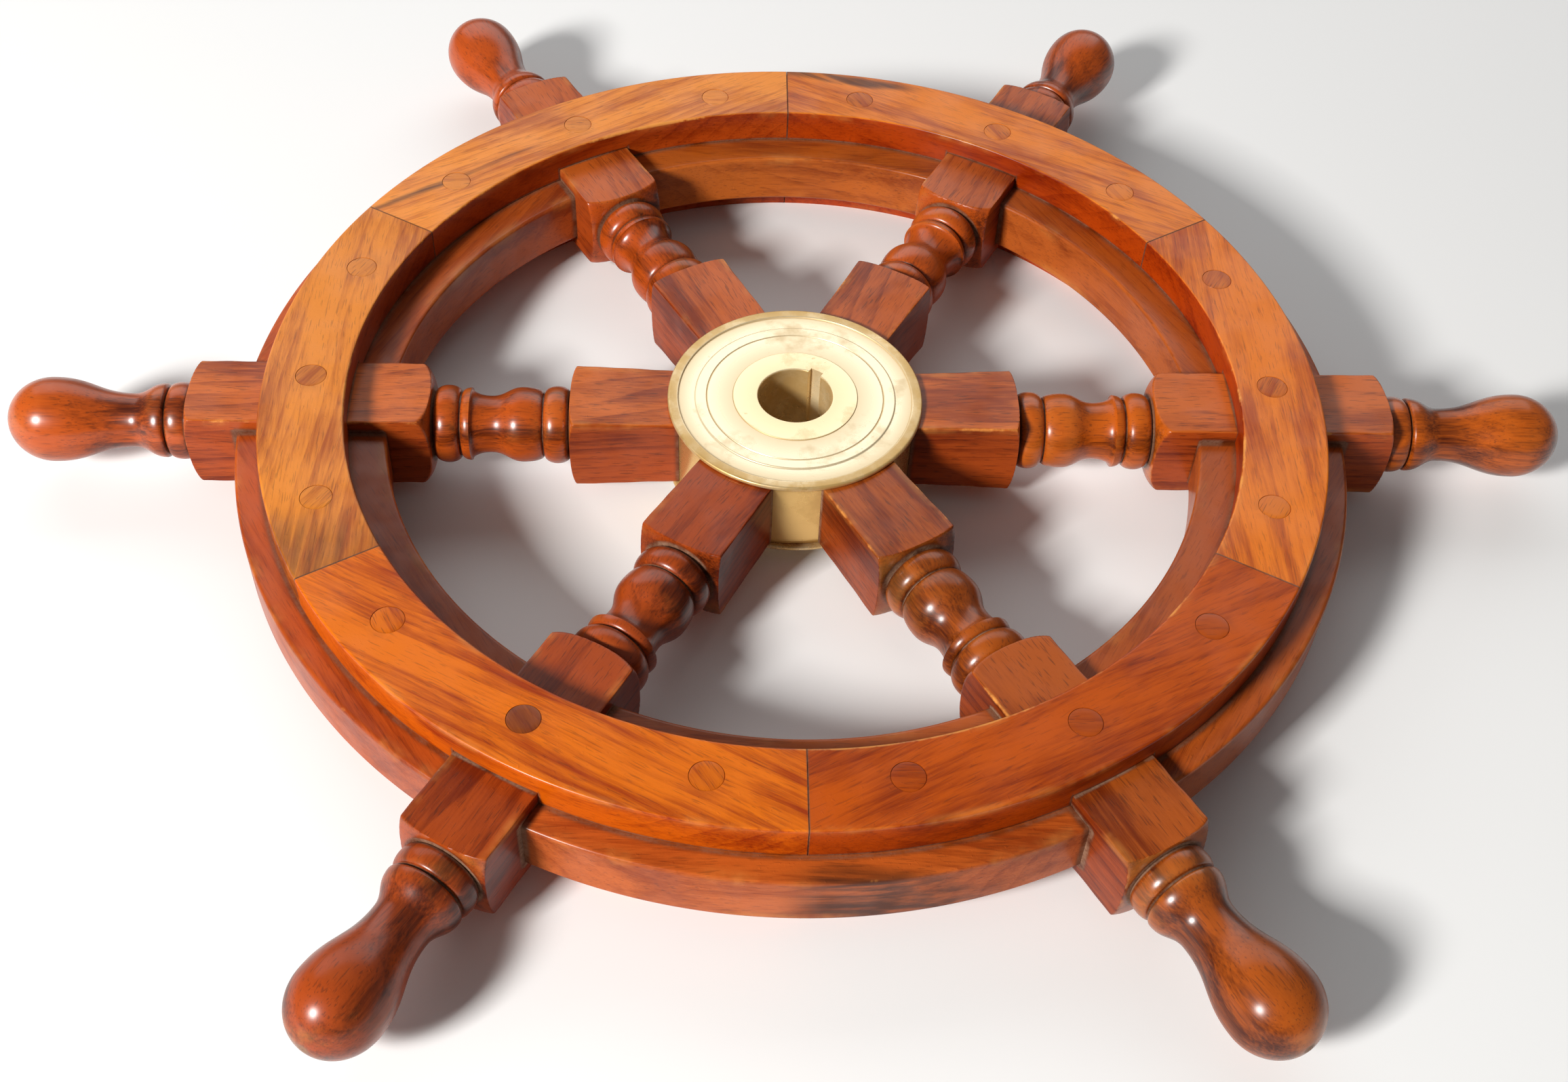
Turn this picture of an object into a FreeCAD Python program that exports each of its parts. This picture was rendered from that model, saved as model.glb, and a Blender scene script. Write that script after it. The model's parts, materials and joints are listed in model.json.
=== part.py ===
"""Ship's steering wheel: six turned spokes, a three-layer wooden rim and a keyed brass hub.

Millimetres. The origin is the wheel's centre, +Z runs along the bore towards the front,
and spoke_1 points along +X. Everything repeats about Z, one spoke to the next.
"""
import FreeCAD, Part
import math
import os

V = FreeCAD.Vector
CENTRE = V(0, 0, 0)
X_AXIS = V(1, 0, 0)
Z_AXIS = V(0, 0, 1)

# ---- overall -------------------------------------------------------------------------------
WHEEL_DIAMETER = 610.0        # over the tips of opposite handles
SPOKE_COUNT = 6
STOCK_SIZE = 33.2             # square stock that a spoke is turned from

# ---- clearances ----------------------------------------------------------------------------
GLUE_LINE = 0.1               # between glued wooden faces, and between wood and brass
METAL_FIT = 0.05              # radial, between turned brass parts and round holes
SEGMENT_GAP = 0.12            # at the butt joint of two facing segments

# ---- rim -----------------------------------------------------------------------------------
FELLOE_WIDTH = 56.3           # middle layer, inner edge to outer edge
FELLOE_THICKNESS = 22.2
FELLOE_EDGE_ROUND = 1.4
FACING_WIDTH = 31.9           # front and back layers
FACING_THICKNESS = 14.2
FACING_SETBACK = 10.4         # ledge that the felloe keeps outside the facing
FACING_EDGE_ROUND = 0.9
FACING_FOOT_ROUND = 0.3

# ---- plugs and screws ----------------------------------------------------------------------
SCREW_SPREAD = 19.9           # degrees from a spoke to the screw on either side of it
SCREW_INSET = 1.7             # screw circle inside the facing's middle line
PLUG_DIAMETER = 11.8
PLUG_DEPTH = 5.0
PLUG_SINK = 0.1               # plug face below the facing's face
PLUG_CHAMFER = 0.3
SCREW_HEAD_DIAMETER = 8.0
SCREW_HEAD_HEIGHT = 3.0
SCREW_SHANK_DIAMETER = 4.2
SCREW_TIP_GAP = 6.4           # between the points of a front screw and the back screw behind it
SCREW_POINT_LENGTH = 4.0
SCREW_SLOT_WIDTH = 1.1
SCREW_SLOT_DEPTH = 1.2

# ---- spoke blocks --------------------------------------------------------------------------
HUB_TAPER = 2.2               # how much the square narrows where it meets the hub
BLOCK_OVERHANG = 20.5         # rim block beyond the felloe's outer edge
BLOCK_INSET = 16.3            # rim block inside the felloe's inner edge
HUB_SHOULDER_LENGTH = 3.8     # turned corner at the hub block's outer end
INNER_SHOULDER_LENGTH = 7.7   # turned corner at the rim block's inner end
OUTER_SHOULDER_LENGTH = 4.8   # turned corner at the rim block's outer end
TENON_DIAMETER = 20.0
TENON_LENGTH = 19.0

# ---- turnings between the two blocks, from the hub outwards ---------------------------------
HUB_BLOCK_LENGTH = 39.8
BEAD_LENGTH = 9.8
BEAD_DIAMETER = 30.3
GROOVE_LENGTH = 0.4
GROOVE_DIAMETER = 24.6
VASE_RISE_LENGTH = 7.9
VASE_FALL_LENGTH = 12.5
VASE_DIAMETER = 29.3
COVE_DIAMETER = 22.1
COLLAR_RISE_LENGTH = 7.6
COLLAR_LENGTH = 3.5
COLLAR_DIAMETER = 28.4
COLLAR_GROOVE_LENGTH = 0.6
NECK_LENGTH = 0.6
NECK_DIAMETER = 26.8

# ---- handle, from the rim block out to the tip ----------------------------------------------
HANDLE_BEAD_LENGTH = 8.3
HANDLE_BEAD_DIAMETER = 30.0
HANDLE_GROOVE_LENGTH = 0.7
HANDLE_LIP_LENGTH = 1.6
HANDLE_LIP_DIAMETER = 28.8
HANDLE_FALL_LENGTH = 12.4
HANDLE_NECK_DIAMETER = 20.8
HANDLE_SWELL_LENGTH = 30.6
HANDLE_BULB_DIAMETER = 32.8
HANDLE_END_LENGTH = 17.6

# ---- hub -----------------------------------------------------------------------------------
DRUM_DIAMETER = 94.8          # outside of the brass band
BAND_WALL = 2.0
PLATE_OVERHANG = 2.0          # plate beyond the drum
PLATE_THICKNESS = 1.8
PLATE_LIP_WIDTH = 4.2
PLATE_LIP_RISE = 0.2          # lip above the plate's middle
PLATE_STEP_DROP = 0.4         # outer field below the plate's middle
PLATE_STEP_INSET = 10.4       # step up to the plate's middle, from the plate's edge
PLATE_LINE_INSET = 15.1       # fine line, from the plate's edge
PLATE_LINE_DEPTH = 0.35
FLANGE_WIDTH = 5.2            # flange beyond the bush
FLANGE_THICKNESS = 1.2
FLANGE_RISE = 0.3             # flange above the plate's middle
BORE_DIAMETER = 29.0
BUSH_WALL = 4.5
BORE_MOUTH_ROUND = 0.6
KEYWAY_WIDTH = 5.4
KEYWAY_DEPTH = 2.0
KEYWAY_ANGLE = 57.0           # degrees from spoke_1

# ---- worked out from the sizes above --------------------------------------------------------
SPOKE_STEP = 360.0 / SPOKE_COUNT
TIP_RADIUS = WHEEL_DIAMETER / 2
HANDLE_LENGTH = (HANDLE_BEAD_LENGTH + HANDLE_GROOVE_LENGTH + HANDLE_LIP_LENGTH + HANDLE_FALL_LENGTH
                 + HANDLE_SWELL_LENGTH + HANDLE_END_LENGTH)
BLOCK_END = TIP_RADIUS - HANDLE_LENGTH
FELLOE_OUTER = BLOCK_END - BLOCK_OVERHANG
FELLOE_INNER = FELLOE_OUTER - FELLOE_WIDTH
BLOCK_START = FELLOE_INNER - BLOCK_INSET
FACING_OUTER = FELLOE_OUTER - FACING_SETBACK
FACING_INNER = FACING_OUTER - FACING_WIDTH
FELLOE_FACE = FELLOE_THICKNESS / 2
FACING_FACE = FELLOE_FACE + FACING_THICKNESS
SCREW_CIRCLE = (FACING_OUTER + FACING_INNER) / 2 - SCREW_INSET
SCREW_HEAD_FACE = FACING_FACE - PLUG_DEPTH - PLUG_SINK
SCREW_TIP = SCREW_TIP_GAP / 2

HUB_BLOCK_SIZE = STOCK_SIZE - HUB_TAPER
DRUM_RADIUS = DRUM_DIAMETER / 2
PLATE_RADIUS = DRUM_RADIUS + PLATE_OVERHANG
BORE_RADIUS = BORE_DIAMETER / 2
BUSH_RADIUS = BORE_RADIUS + BUSH_WALL
FLANGE_RADIUS = BUSH_RADIUS + FLANGE_WIDTH
NAVE_RADIUS = DRUM_RADIUS - BAND_WALL - GLUE_LINE
PLATE_SEAT = HUB_BLOCK_SIZE / 2 + GLUE_LINE
PLATE_FACE = PLATE_SEAT + PLATE_THICKNESS
BUSH_FACE = PLATE_FACE + FLANGE_RISE

# A turned block is cut from stock whose corners reach this far from the lathe's axis.
CORNER_RADIUS = STOCK_SIZE * math.sqrt(2) / 2
BLOCK_TURNING_RADIUS = CORNER_RADIUS + 1.0

# The turnings keep their proportions and share out the space from the drum to the rim block.
TURNING_LENGTH = (HUB_BLOCK_LENGTH + GROOVE_LENGTH + BEAD_LENGTH + GROOVE_LENGTH + VASE_RISE_LENGTH
                  + VASE_FALL_LENGTH + COLLAR_RISE_LENGTH + COLLAR_LENGTH + COLLAR_GROOVE_LENGTH
                  + BEAD_LENGTH + NECK_LENGTH)
STRETCH = (BLOCK_START - DRUM_RADIUS) / TURNING_LENGTH
HUB_BLOCK_END = DRUM_RADIUS + HUB_BLOCK_LENGTH * STRETCH

QUARTER_PULL = 0.5523         # handle length that makes a cubic curve a quarter ellipse
EASE_PULL = 0.45              # share of the length that an eased stretch runs level at each end


class Turning:
    """The outline of a turned part: distance along the lathe's axis against radius."""

    def __init__(self, start, radius):
        self.start = start
        self.x = start
        self.radius = radius
        self.edges = []
        self._line(start, 0, start, radius)

    def _line(self, x0, r0, x1, r1):
        self.edges.append(Part.LineSegment(V(x0, r0, 0), V(x1, r1, 0)).toShape())

    def _cubic(self, pull_0, pull_1, x, radius):
        curve = Part.BezierCurve()
        curve.setPoles([V(self.x, self.radius, 0), V(*pull_0, 0), V(*pull_1, 0), V(x, radius, 0)])
        self.edges.append(curve.toShape())
        self.x = x
        self.radius = radius

    def straight(self, length, radius):
        """A cone, or a cylinder where the radius stays."""
        self._line(self.x, self.radius, self.x + length, radius)
        self.x += length
        self.radius = radius

    def swell(self, length, radius):
        """A quarter ellipse that starts square to the axis and ends along it."""
        x = self.x + length
        rise = radius - self.radius
        start_pull = (self.x, self.radius + QUARTER_PULL * rise)
        self._cubic(start_pull, (x - QUARTER_PULL * length, radius), x, radius)

    def sink(self, length, radius):
        """A quarter ellipse that starts along the axis and ends square to it."""
        x = self.x + length
        rise = radius - self.radius
        end_pull = (x, radius - QUARTER_PULL * rise)
        self._cubic((self.x + QUARTER_PULL * length, self.radius), end_pull, x, radius)

    def ease(self, length, radius):
        """A smooth stretch that runs along the axis at both ends."""
        x = self.x + length
        pull = EASE_PULL * length
        self._cubic((self.x + pull, self.radius), (x - pull, radius), x, radius)

    def bead(self, length, radius):
        """A half-round bead that returns to the radius it started from."""
        foot = self.radius
        self.swell(length / 2, radius)
        self.sink(length / 2, foot)

    def solid(self):
        """The outline closed along the axis and turned about it."""
        if self.radius > 0:
            self._line(self.x, self.radius, self.x, 0)
        self._line(self.x, 0, self.start, 0)
        face = Part.Face(Part.Wire(self.edges))
        return face.revolve(CENTRE, X_AXIS, 360)


def turned_about(shape, degrees):
    """A copy of the shape turned about the wheel's axis."""
    copy = shape.copy()
    copy.rotate(CENTRE, Z_AXIS, degrees)
    return copy


def mirrored(shape):
    """The same piece on the back of the wheel."""
    return shape.mirror(CENTRE, Z_AXIS)


def cylinder(radius, low, high):
    """An upright cylinder on the wheel's axis."""
    return Part.makeCylinder(radius, high - low, V(0, 0, low))


def box_along_spoke(start, end, width, low, high):
    """A box centred on the first spoke's line."""
    return Part.makeBox(end - start, width, high - low, V(start, -width / 2, low))


def closed_face(points):
    """A flat face from (radius, height) points in the XZ plane."""
    corners = [V(r, 0, z) for r, z in points]
    return Part.Face(Part.makePolygon(corners + corners[:1]))


def rounded_section(inner, outer, low, high, low_round, high_round):
    """A rectangle in the XZ plane with rounded corners: (radius, height, round, turn) each."""
    corners = [(inner, low, low_round, 225), (outer, low, low_round, 315),
               (outer, high, high_round, 45), (inner, high, high_round, 135)]
    arcs = []
    for r, z, size, middle in corners:
        inward_r = size if r == inner else -size
        inward_z = size if z == low else -size
        points = []
        for degrees in (middle - 45, middle, middle + 45):
            angle = math.radians(degrees)
            points.append(V(r + inward_r + size * math.cos(angle), 0,
                            z + inward_z + size * math.sin(angle)))
        arcs.append(points)
    edges = []
    for index, points in enumerate(arcs):
        edges.append(Part.Arc(*points).toShape())
        following = arcs[(index + 1) % len(arcs)]
        edges.append(Part.LineSegment(points[-1], following[0]).toShape())
    return Part.Face(Part.Wire(edges))


def ring_sector(section, start_angle, sweep):
    """A section in the XZ plane carried round the wheel's axis."""
    return turned_about(section.revolve(CENTRE, Z_AXIS, sweep), start_angle)


# ---- screws and plugs -----------------------------------------------------------------------
def screw_outline(clearance):
    """Points of a countersunk screw's outline, (radius, height), larger by the clearance."""
    head = SCREW_HEAD_DIAMETER / 2 + clearance
    shank = SCREW_SHANK_DIAMETER / 2 + clearance
    neck = SCREW_HEAD_FACE - SCREW_HEAD_HEIGHT - clearance
    tip = SCREW_TIP - clearance
    top = SCREW_HEAD_FACE + clearance
    return [(0, tip), (shank, tip + SCREW_POINT_LENGTH), (shank, neck), (head, top), (0, top)]


def screw():
    """One slotted countersunk screw on the wheel's axis, head towards the front."""
    body = closed_face(screw_outline(0)).revolve(CENTRE, Z_AXIS, 360)
    slot = Part.makeBox(SCREW_HEAD_DIAMETER, SCREW_SLOT_WIDTH, SCREW_SLOT_DEPTH,
                        V(-SCREW_HEAD_DIAMETER / 2, -SCREW_SLOT_WIDTH / 2,
                          SCREW_HEAD_FACE - SCREW_SLOT_DEPTH))
    return body.cut(slot)


def plug():
    """One round wooden plug that hides a screw head."""
    radius = PLUG_DIAMETER / 2
    low = SCREW_HEAD_FACE + GLUE_LINE
    high = FACING_FACE - PLUG_SINK
    points = [(0, low), (radius, low), (radius, high - PLUG_CHAMFER),
              (radius - PLUG_CHAMFER, high), (0, high)]
    return closed_face(points).revolve(CENTRE, Z_AXIS, 360)


def screw_hole():
    """What is cut for a screw and its plug."""
    pilot = closed_face(screw_outline(METAL_FIT)).revolve(CENTRE, Z_AXIS, 360)
    counterbore = cylinder(PLUG_DIAMETER / 2 + METAL_FIT, SCREW_HEAD_FACE, FACING_FACE + 1)
    return pilot.fuse(counterbore)


def at_screw(shape, angle):
    """A copy of a screw, plug or hole, moved out to the screw circle and turned to an angle."""
    moved = shape.copy()
    moved.translate(V(SCREW_CIRCLE, 0, 0))
    return turned_about(moved, angle)


def screw_angles():
    """The angle of every screw on one face of the rim."""
    angles = []
    for index in range(SPOKE_COUNT):
        for side in (-1, 0, 1):
            angles.append(index * SPOKE_STEP + side * SCREW_SPREAD)
    return angles


# ---- rim ------------------------------------------------------------------------------------
def front_facing():
    """A facing segment of the front, centred on the first spoke and notched over its block."""
    section = rounded_section(FACING_INNER, FACING_OUTER, FELLOE_FACE, FACING_FACE,
                              FACING_FOOT_ROUND, FACING_EDGE_ROUND)
    gap_angle = math.degrees(SEGMENT_GAP / FACING_OUTER)
    sweep = SPOKE_STEP - gap_angle
    segment = ring_sector(section, -sweep / 2, sweep)
    notch = box_along_spoke(FACING_INNER - STOCK_SIZE / 2, FACING_OUTER + 1, STOCK_SIZE + 2 * GLUE_LINE,
                            FELLOE_FACE - 1, STOCK_SIZE / 2 + GLUE_LINE)
    holes = [at_screw(screw_hole(), side * SCREW_SPREAD) for side in (-1, 0, 1)]
    return segment.cut([notch] + holes)


def felloe():
    """The middle layer between the first spoke and the second."""
    section = rounded_section(FELLOE_INNER, FELLOE_OUTER, -FELLOE_FACE, FELLOE_FACE,
                              FELLOE_EDGE_ROUND, FELLOE_EDGE_ROUND)
    sector = ring_sector(section, 0, SPOKE_STEP)
    block = box_along_spoke(FELLOE_INNER - STOCK_SIZE / 2, FELLOE_OUTER + 1, STOCK_SIZE + 2 * GLUE_LINE,
                            -FELLOE_FACE - 1, FELLOE_FACE + 1)
    cuts = [block, turned_about(block, SPOKE_STEP)]
    for angle in (SCREW_SPREAD, SPOKE_STEP - SCREW_SPREAD):
        hole = at_screw(screw_hole(), angle)
        cuts += [hole, mirrored(hole)]
    return sector.cut(cuts)


# ---- spoke ----------------------------------------------------------------------------------
def hub_block():
    """The square block at the hub: it narrows to the plate's rim, and is hollowed to fit the drum."""
    start = DRUM_RADIUS - HUB_BLOCK_SIZE / 4
    turning = Turning(start, BLOCK_TURNING_RADIUS)
    shoulder = HUB_SHOULDER_LENGTH * STRETCH
    turning.straight(HUB_BLOCK_END - shoulder - start, BLOCK_TURNING_RADIUS)
    turning.sink(shoulder, NECK_DIAMETER / 2)
    ends = []
    for x, size in ((start, HUB_BLOCK_SIZE), (PLATE_RADIUS, HUB_BLOCK_SIZE), (HUB_BLOCK_END, STOCK_SIZE)):
        half = size / 2
        corners = [V(x, -half, -half), V(x, half, -half), V(x, half, half), V(x, -half, half)]
        ends.append(Part.makePolygon(corners + corners[:1]))
    stock = Part.makeLoft(ends, True, True)
    seat = cylinder(DRUM_RADIUS + GLUE_LINE, -STOCK_SIZE, STOCK_SIZE)
    return turning.solid().common(stock).cut(seat)


def middle_turning():
    """Bead, vase, cove, collar and bead between the two blocks."""
    turning = Turning(HUB_BLOCK_END, NECK_DIAMETER / 2)
    groove = GROOVE_DIAMETER / 2
    turning.straight(GROOVE_LENGTH * STRETCH, groove)
    turning.bead(BEAD_LENGTH * STRETCH, BEAD_DIAMETER / 2)
    turning.straight(GROOVE_LENGTH * STRETCH, groove)
    turning.swell(VASE_RISE_LENGTH * STRETCH, VASE_DIAMETER / 2)
    turning.ease(VASE_FALL_LENGTH * STRETCH, COVE_DIAMETER / 2)
    turning.sink(COLLAR_RISE_LENGTH * STRETCH, COLLAR_DIAMETER / 2)
    turning.sink(COLLAR_LENGTH * STRETCH, groove)
    turning.straight(COLLAR_GROOVE_LENGTH * STRETCH, groove)
    turning.bead(BEAD_LENGTH * STRETCH, BEAD_DIAMETER / 2)
    turning.straight(NECK_LENGTH * STRETCH, NECK_DIAMETER / 2)
    return turning.solid()


def rim_block():
    """The square block that the rim closes round, with its corners turned off at both ends."""
    turning = Turning(BLOCK_START, NECK_DIAMETER / 2)
    turning.swell(INNER_SHOULDER_LENGTH, BLOCK_TURNING_RADIUS)
    middle = BLOCK_END - BLOCK_START - INNER_SHOULDER_LENGTH - OUTER_SHOULDER_LENGTH
    turning.straight(middle, BLOCK_TURNING_RADIUS)
    turning.sink(OUTER_SHOULDER_LENGTH, NECK_DIAMETER / 2)
    stock = box_along_spoke(BLOCK_START, BLOCK_END, STOCK_SIZE, -STOCK_SIZE / 2, STOCK_SIZE / 2)
    return turning.solid().common(stock)


def handle():
    """Bead, lip, waist and bulb that the helmsman holds."""
    turning = Turning(BLOCK_END, NECK_DIAMETER / 2)
    turning.bead(HANDLE_BEAD_LENGTH, HANDLE_BEAD_DIAMETER / 2)
    turning.straight(HANDLE_GROOVE_LENGTH, GROOVE_DIAMETER / 2)
    turning.swell(HANDLE_LIP_LENGTH, HANDLE_LIP_DIAMETER / 2)
    turning.ease(HANDLE_FALL_LENGTH, HANDLE_NECK_DIAMETER / 2)
    turning.ease(HANDLE_SWELL_LENGTH, HANDLE_BULB_DIAMETER / 2)
    turning.sink(HANDLE_END_LENGTH, 0)
    return turning.solid()


def spoke():
    """One spoke in one piece: tenon, hub block, turnings, rim block and handle."""
    tenon = Part.makeCylinder(TENON_DIAMETER / 2, TENON_LENGTH + HUB_BLOCK_SIZE / 4,
                              V(DRUM_RADIUS - TENON_LENGTH, 0, 0), X_AXIS)
    whole = hub_block().fuse([tenon, middle_turning(), rim_block(), handle()]).removeSplitter()
    hole = at_screw(screw_hole(), 0)
    return whole.cut([hole, mirrored(hole)])


# ---- hub ------------------------------------------------------------------------------------
def tenon_holes(clearance):
    """Round sockets for the spokes' tenons, from the tenons' ends to outside the drum."""
    socket = Part.makeCylinder(TENON_DIAMETER / 2 + clearance, TENON_LENGTH + 1 + clearance,
                               V(DRUM_RADIUS - TENON_LENGTH - clearance, 0, 0), X_AXIS)
    return [turned_about(socket, index * SPOKE_STEP) for index in range(SPOKE_COUNT)]


def nave():
    """The wooden core of the hub, with a socket for each tenon."""
    height = PLATE_SEAT - GLUE_LINE
    core = cylinder(NAVE_RADIUS, -height, height)
    return core.cut([cylinder(BUSH_RADIUS + METAL_FIT, -height - 1, height + 1)] + tenon_holes(GLUE_LINE))


def hub_band():
    """The brass drum round the nave, seen between the spokes."""
    height = PLATE_SEAT - METAL_FIT
    band = cylinder(DRUM_RADIUS, -height, height)
    inside = cylinder(DRUM_RADIUS - BAND_WALL, -height - 1, height + 1)
    return band.cut([inside] + tenon_holes(METAL_FIT))


def hub_plate(hole_radius):
    """A turned brass plate with a rolled lip, a sunk outer field and a fine line."""
    outer = PLATE_RADIUS
    lip_top = PLATE_FACE + PLATE_LIP_RISE
    lip_inner = outer - PLATE_LIP_WIDTH
    roll = (lip_top - PLATE_SEAT) / 2
    field = PLATE_FACE - PLATE_STEP_DROP
    drop = lip_top - field
    step = outer - PLATE_STEP_INSET
    line = outer - PLATE_LINE_INSET
    roll_up = Part.Arc(V(outer - roll, 0, PLATE_SEAT), V(outer, 0, PLATE_SEAT + roll),
                       V(outer - roll, 0, lip_top)).toShape()
    diagonal = drop * math.sqrt(0.5)
    roll_down = Part.Arc(V(lip_inner + drop, 0, lip_top),
                         V(lip_inner + drop - diagonal, 0, field + diagonal),
                         V(lip_inner, 0, field)).toShape()
    lip_flat = Part.LineSegment(V(outer - roll, 0, lip_top), V(lip_inner + drop, 0, lip_top)).toShape()
    points = [V(lip_inner, 0, field), V(step, 0, field), V(step - PLATE_STEP_DROP, 0, PLATE_FACE),
              V(line + PLATE_LINE_DEPTH, 0, PLATE_FACE), V(line, 0, PLATE_FACE - PLATE_LINE_DEPTH),
              V(line - PLATE_LINE_DEPTH, 0, PLATE_FACE), V(hole_radius, 0, PLATE_FACE),
              V(hole_radius, 0, PLATE_SEAT), V(outer - roll, 0, PLATE_SEAT)]
    edges = [roll_up, lip_flat, roll_down]
    for first, second in zip(points, points[1:]):
        edges.append(Part.LineSegment(first, second).toShape())
    return Part.Face(Part.Wire(edges)).revolve(CENTRE, Z_AXIS, 360)


def hub_front_plate():
    """The front plate, with a rebate for the bush's flange."""
    plate = hub_plate(BUSH_RADIUS + METAL_FIT)
    rebate_floor = BUSH_FACE - FLANGE_THICKNESS - METAL_FIT
    return plate.cut(cylinder(FLANGE_RADIUS + METAL_FIT, rebate_floor, PLATE_FACE + 1))


def hub_back_plate():
    """The back plate, plain round the bush."""
    return mirrored(hub_plate(BUSH_RADIUS + METAL_FIT))


def hub_bush():
    """The flanged brass bush through the hub, bored and keyed for the shaft."""
    mouth = BORE_MOUTH_ROUND
    under_flange = BUSH_FACE - FLANGE_THICKNESS
    points = [(BORE_RADIUS, -PLATE_FACE + mouth), (BORE_RADIUS + mouth, -PLATE_FACE),
              (BUSH_RADIUS, -PLATE_FACE), (BUSH_RADIUS, under_flange), (FLANGE_RADIUS, under_flange),
              (FLANGE_RADIUS, BUSH_FACE - FLANGE_RISE / 2), (FLANGE_RADIUS - FLANGE_RISE, BUSH_FACE),
              (BORE_RADIUS + mouth, BUSH_FACE), (BORE_RADIUS, BUSH_FACE - mouth)]
    sleeve = closed_face(points).revolve(CENTRE, Z_AXIS, 360)
    keyway = box_along_spoke(0, BORE_RADIUS + KEYWAY_DEPTH, KEYWAY_WIDTH, -PLATE_FACE - 1, BUSH_FACE + 1)
    return sleeve.cut(turned_about(keyway, KEYWAY_ANGLE))


# ---- the wheel ------------------------------------------------------------------------------
def build():
    """Every piece by the name of its node."""
    pieces = {}
    ring_pieces = (("spoke", spoke()), ("front_facing", front_facing()),
                   ("felloe", felloe()), ("back_facing", mirrored(front_facing())))
    for name, first in ring_pieces:
        for index in range(SPOKE_COUNT):
            pieces[f"{name}_{index + 1}"] = turned_about(first, index * SPOKE_STEP)
    front_screws = [at_screw(screw(), angle) for angle in screw_angles()]
    front_plugs = [at_screw(plug(), angle) for angle in screw_angles()]
    pieces["front_screws"] = Part.makeCompound(front_screws)
    pieces["back_screws"] = Part.makeCompound([mirrored(item) for item in front_screws])
    pieces["front_plugs"] = Part.makeCompound(front_plugs)
    pieces["back_plugs"] = Part.makeCompound([mirrored(item) for item in front_plugs])
    pieces["nave"] = nave()
    pieces["hub_band"] = hub_band()
    pieces["hub_front_plate"] = hub_front_plate()
    pieces["hub_back_plate"] = hub_back_plate()
    pieces["hub_bush"] = hub_bush()
    return pieces


os.makedirs("parts", exist_ok=True)
for node, shape in build().items():
    if not shape.isValid():
        raise ValueError(f"{node} is not a valid solid")
    shape.exportStep(f"parts/{node}.step")
    print(f"{node}: {len(shape.Solids)} solid(s), {shape.Volume / 1000:.2f} cm3")
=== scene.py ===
"""Ship's steering wheel: finished surfaces, varnish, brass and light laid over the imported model.

Sizes are in millimetres until a surface becomes a mesh, which is in metres. +Z runs along the
bore towards the front, and spoke_1 lies along +X.
"""
import json
import logging
import math
from dataclasses import dataclass, field, replace
from enum import Enum
from typing import Any, Optional, Sequence

import bpy
import numpy as np
from mathutils import Matrix, Vector


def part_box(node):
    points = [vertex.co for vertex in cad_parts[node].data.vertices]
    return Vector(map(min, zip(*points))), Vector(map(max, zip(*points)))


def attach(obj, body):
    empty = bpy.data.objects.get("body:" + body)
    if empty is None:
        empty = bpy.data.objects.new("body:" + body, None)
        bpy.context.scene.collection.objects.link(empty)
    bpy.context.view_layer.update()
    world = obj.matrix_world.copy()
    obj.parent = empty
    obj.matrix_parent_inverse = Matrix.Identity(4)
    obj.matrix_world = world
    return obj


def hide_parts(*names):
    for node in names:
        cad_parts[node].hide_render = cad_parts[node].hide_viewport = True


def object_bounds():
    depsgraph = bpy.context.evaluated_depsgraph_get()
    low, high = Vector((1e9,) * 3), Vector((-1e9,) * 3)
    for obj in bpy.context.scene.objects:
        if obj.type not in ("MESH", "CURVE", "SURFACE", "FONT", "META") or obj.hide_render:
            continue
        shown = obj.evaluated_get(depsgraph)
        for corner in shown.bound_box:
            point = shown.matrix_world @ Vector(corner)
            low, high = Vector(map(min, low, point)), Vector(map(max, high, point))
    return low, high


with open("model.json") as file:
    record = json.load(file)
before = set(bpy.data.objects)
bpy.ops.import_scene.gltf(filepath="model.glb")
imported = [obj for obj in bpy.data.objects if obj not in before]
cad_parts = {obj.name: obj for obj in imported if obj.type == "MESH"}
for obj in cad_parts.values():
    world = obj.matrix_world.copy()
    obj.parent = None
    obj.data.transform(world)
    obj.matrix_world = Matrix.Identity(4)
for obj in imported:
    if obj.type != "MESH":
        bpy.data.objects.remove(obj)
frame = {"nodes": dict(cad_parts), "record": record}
CAD_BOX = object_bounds()

LOG = logging.getLogger("wheel")
METRES = 0.001
BODY = "root"
SHARP_DEGREES = 38
FLAT_SUPPORT = 0.15
Colour = tuple[float, float, float]
Scale = tuple[float, float, float]
Socket = bpy.types.NodeSocket
Tree = bpy.types.NodeTree


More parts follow.
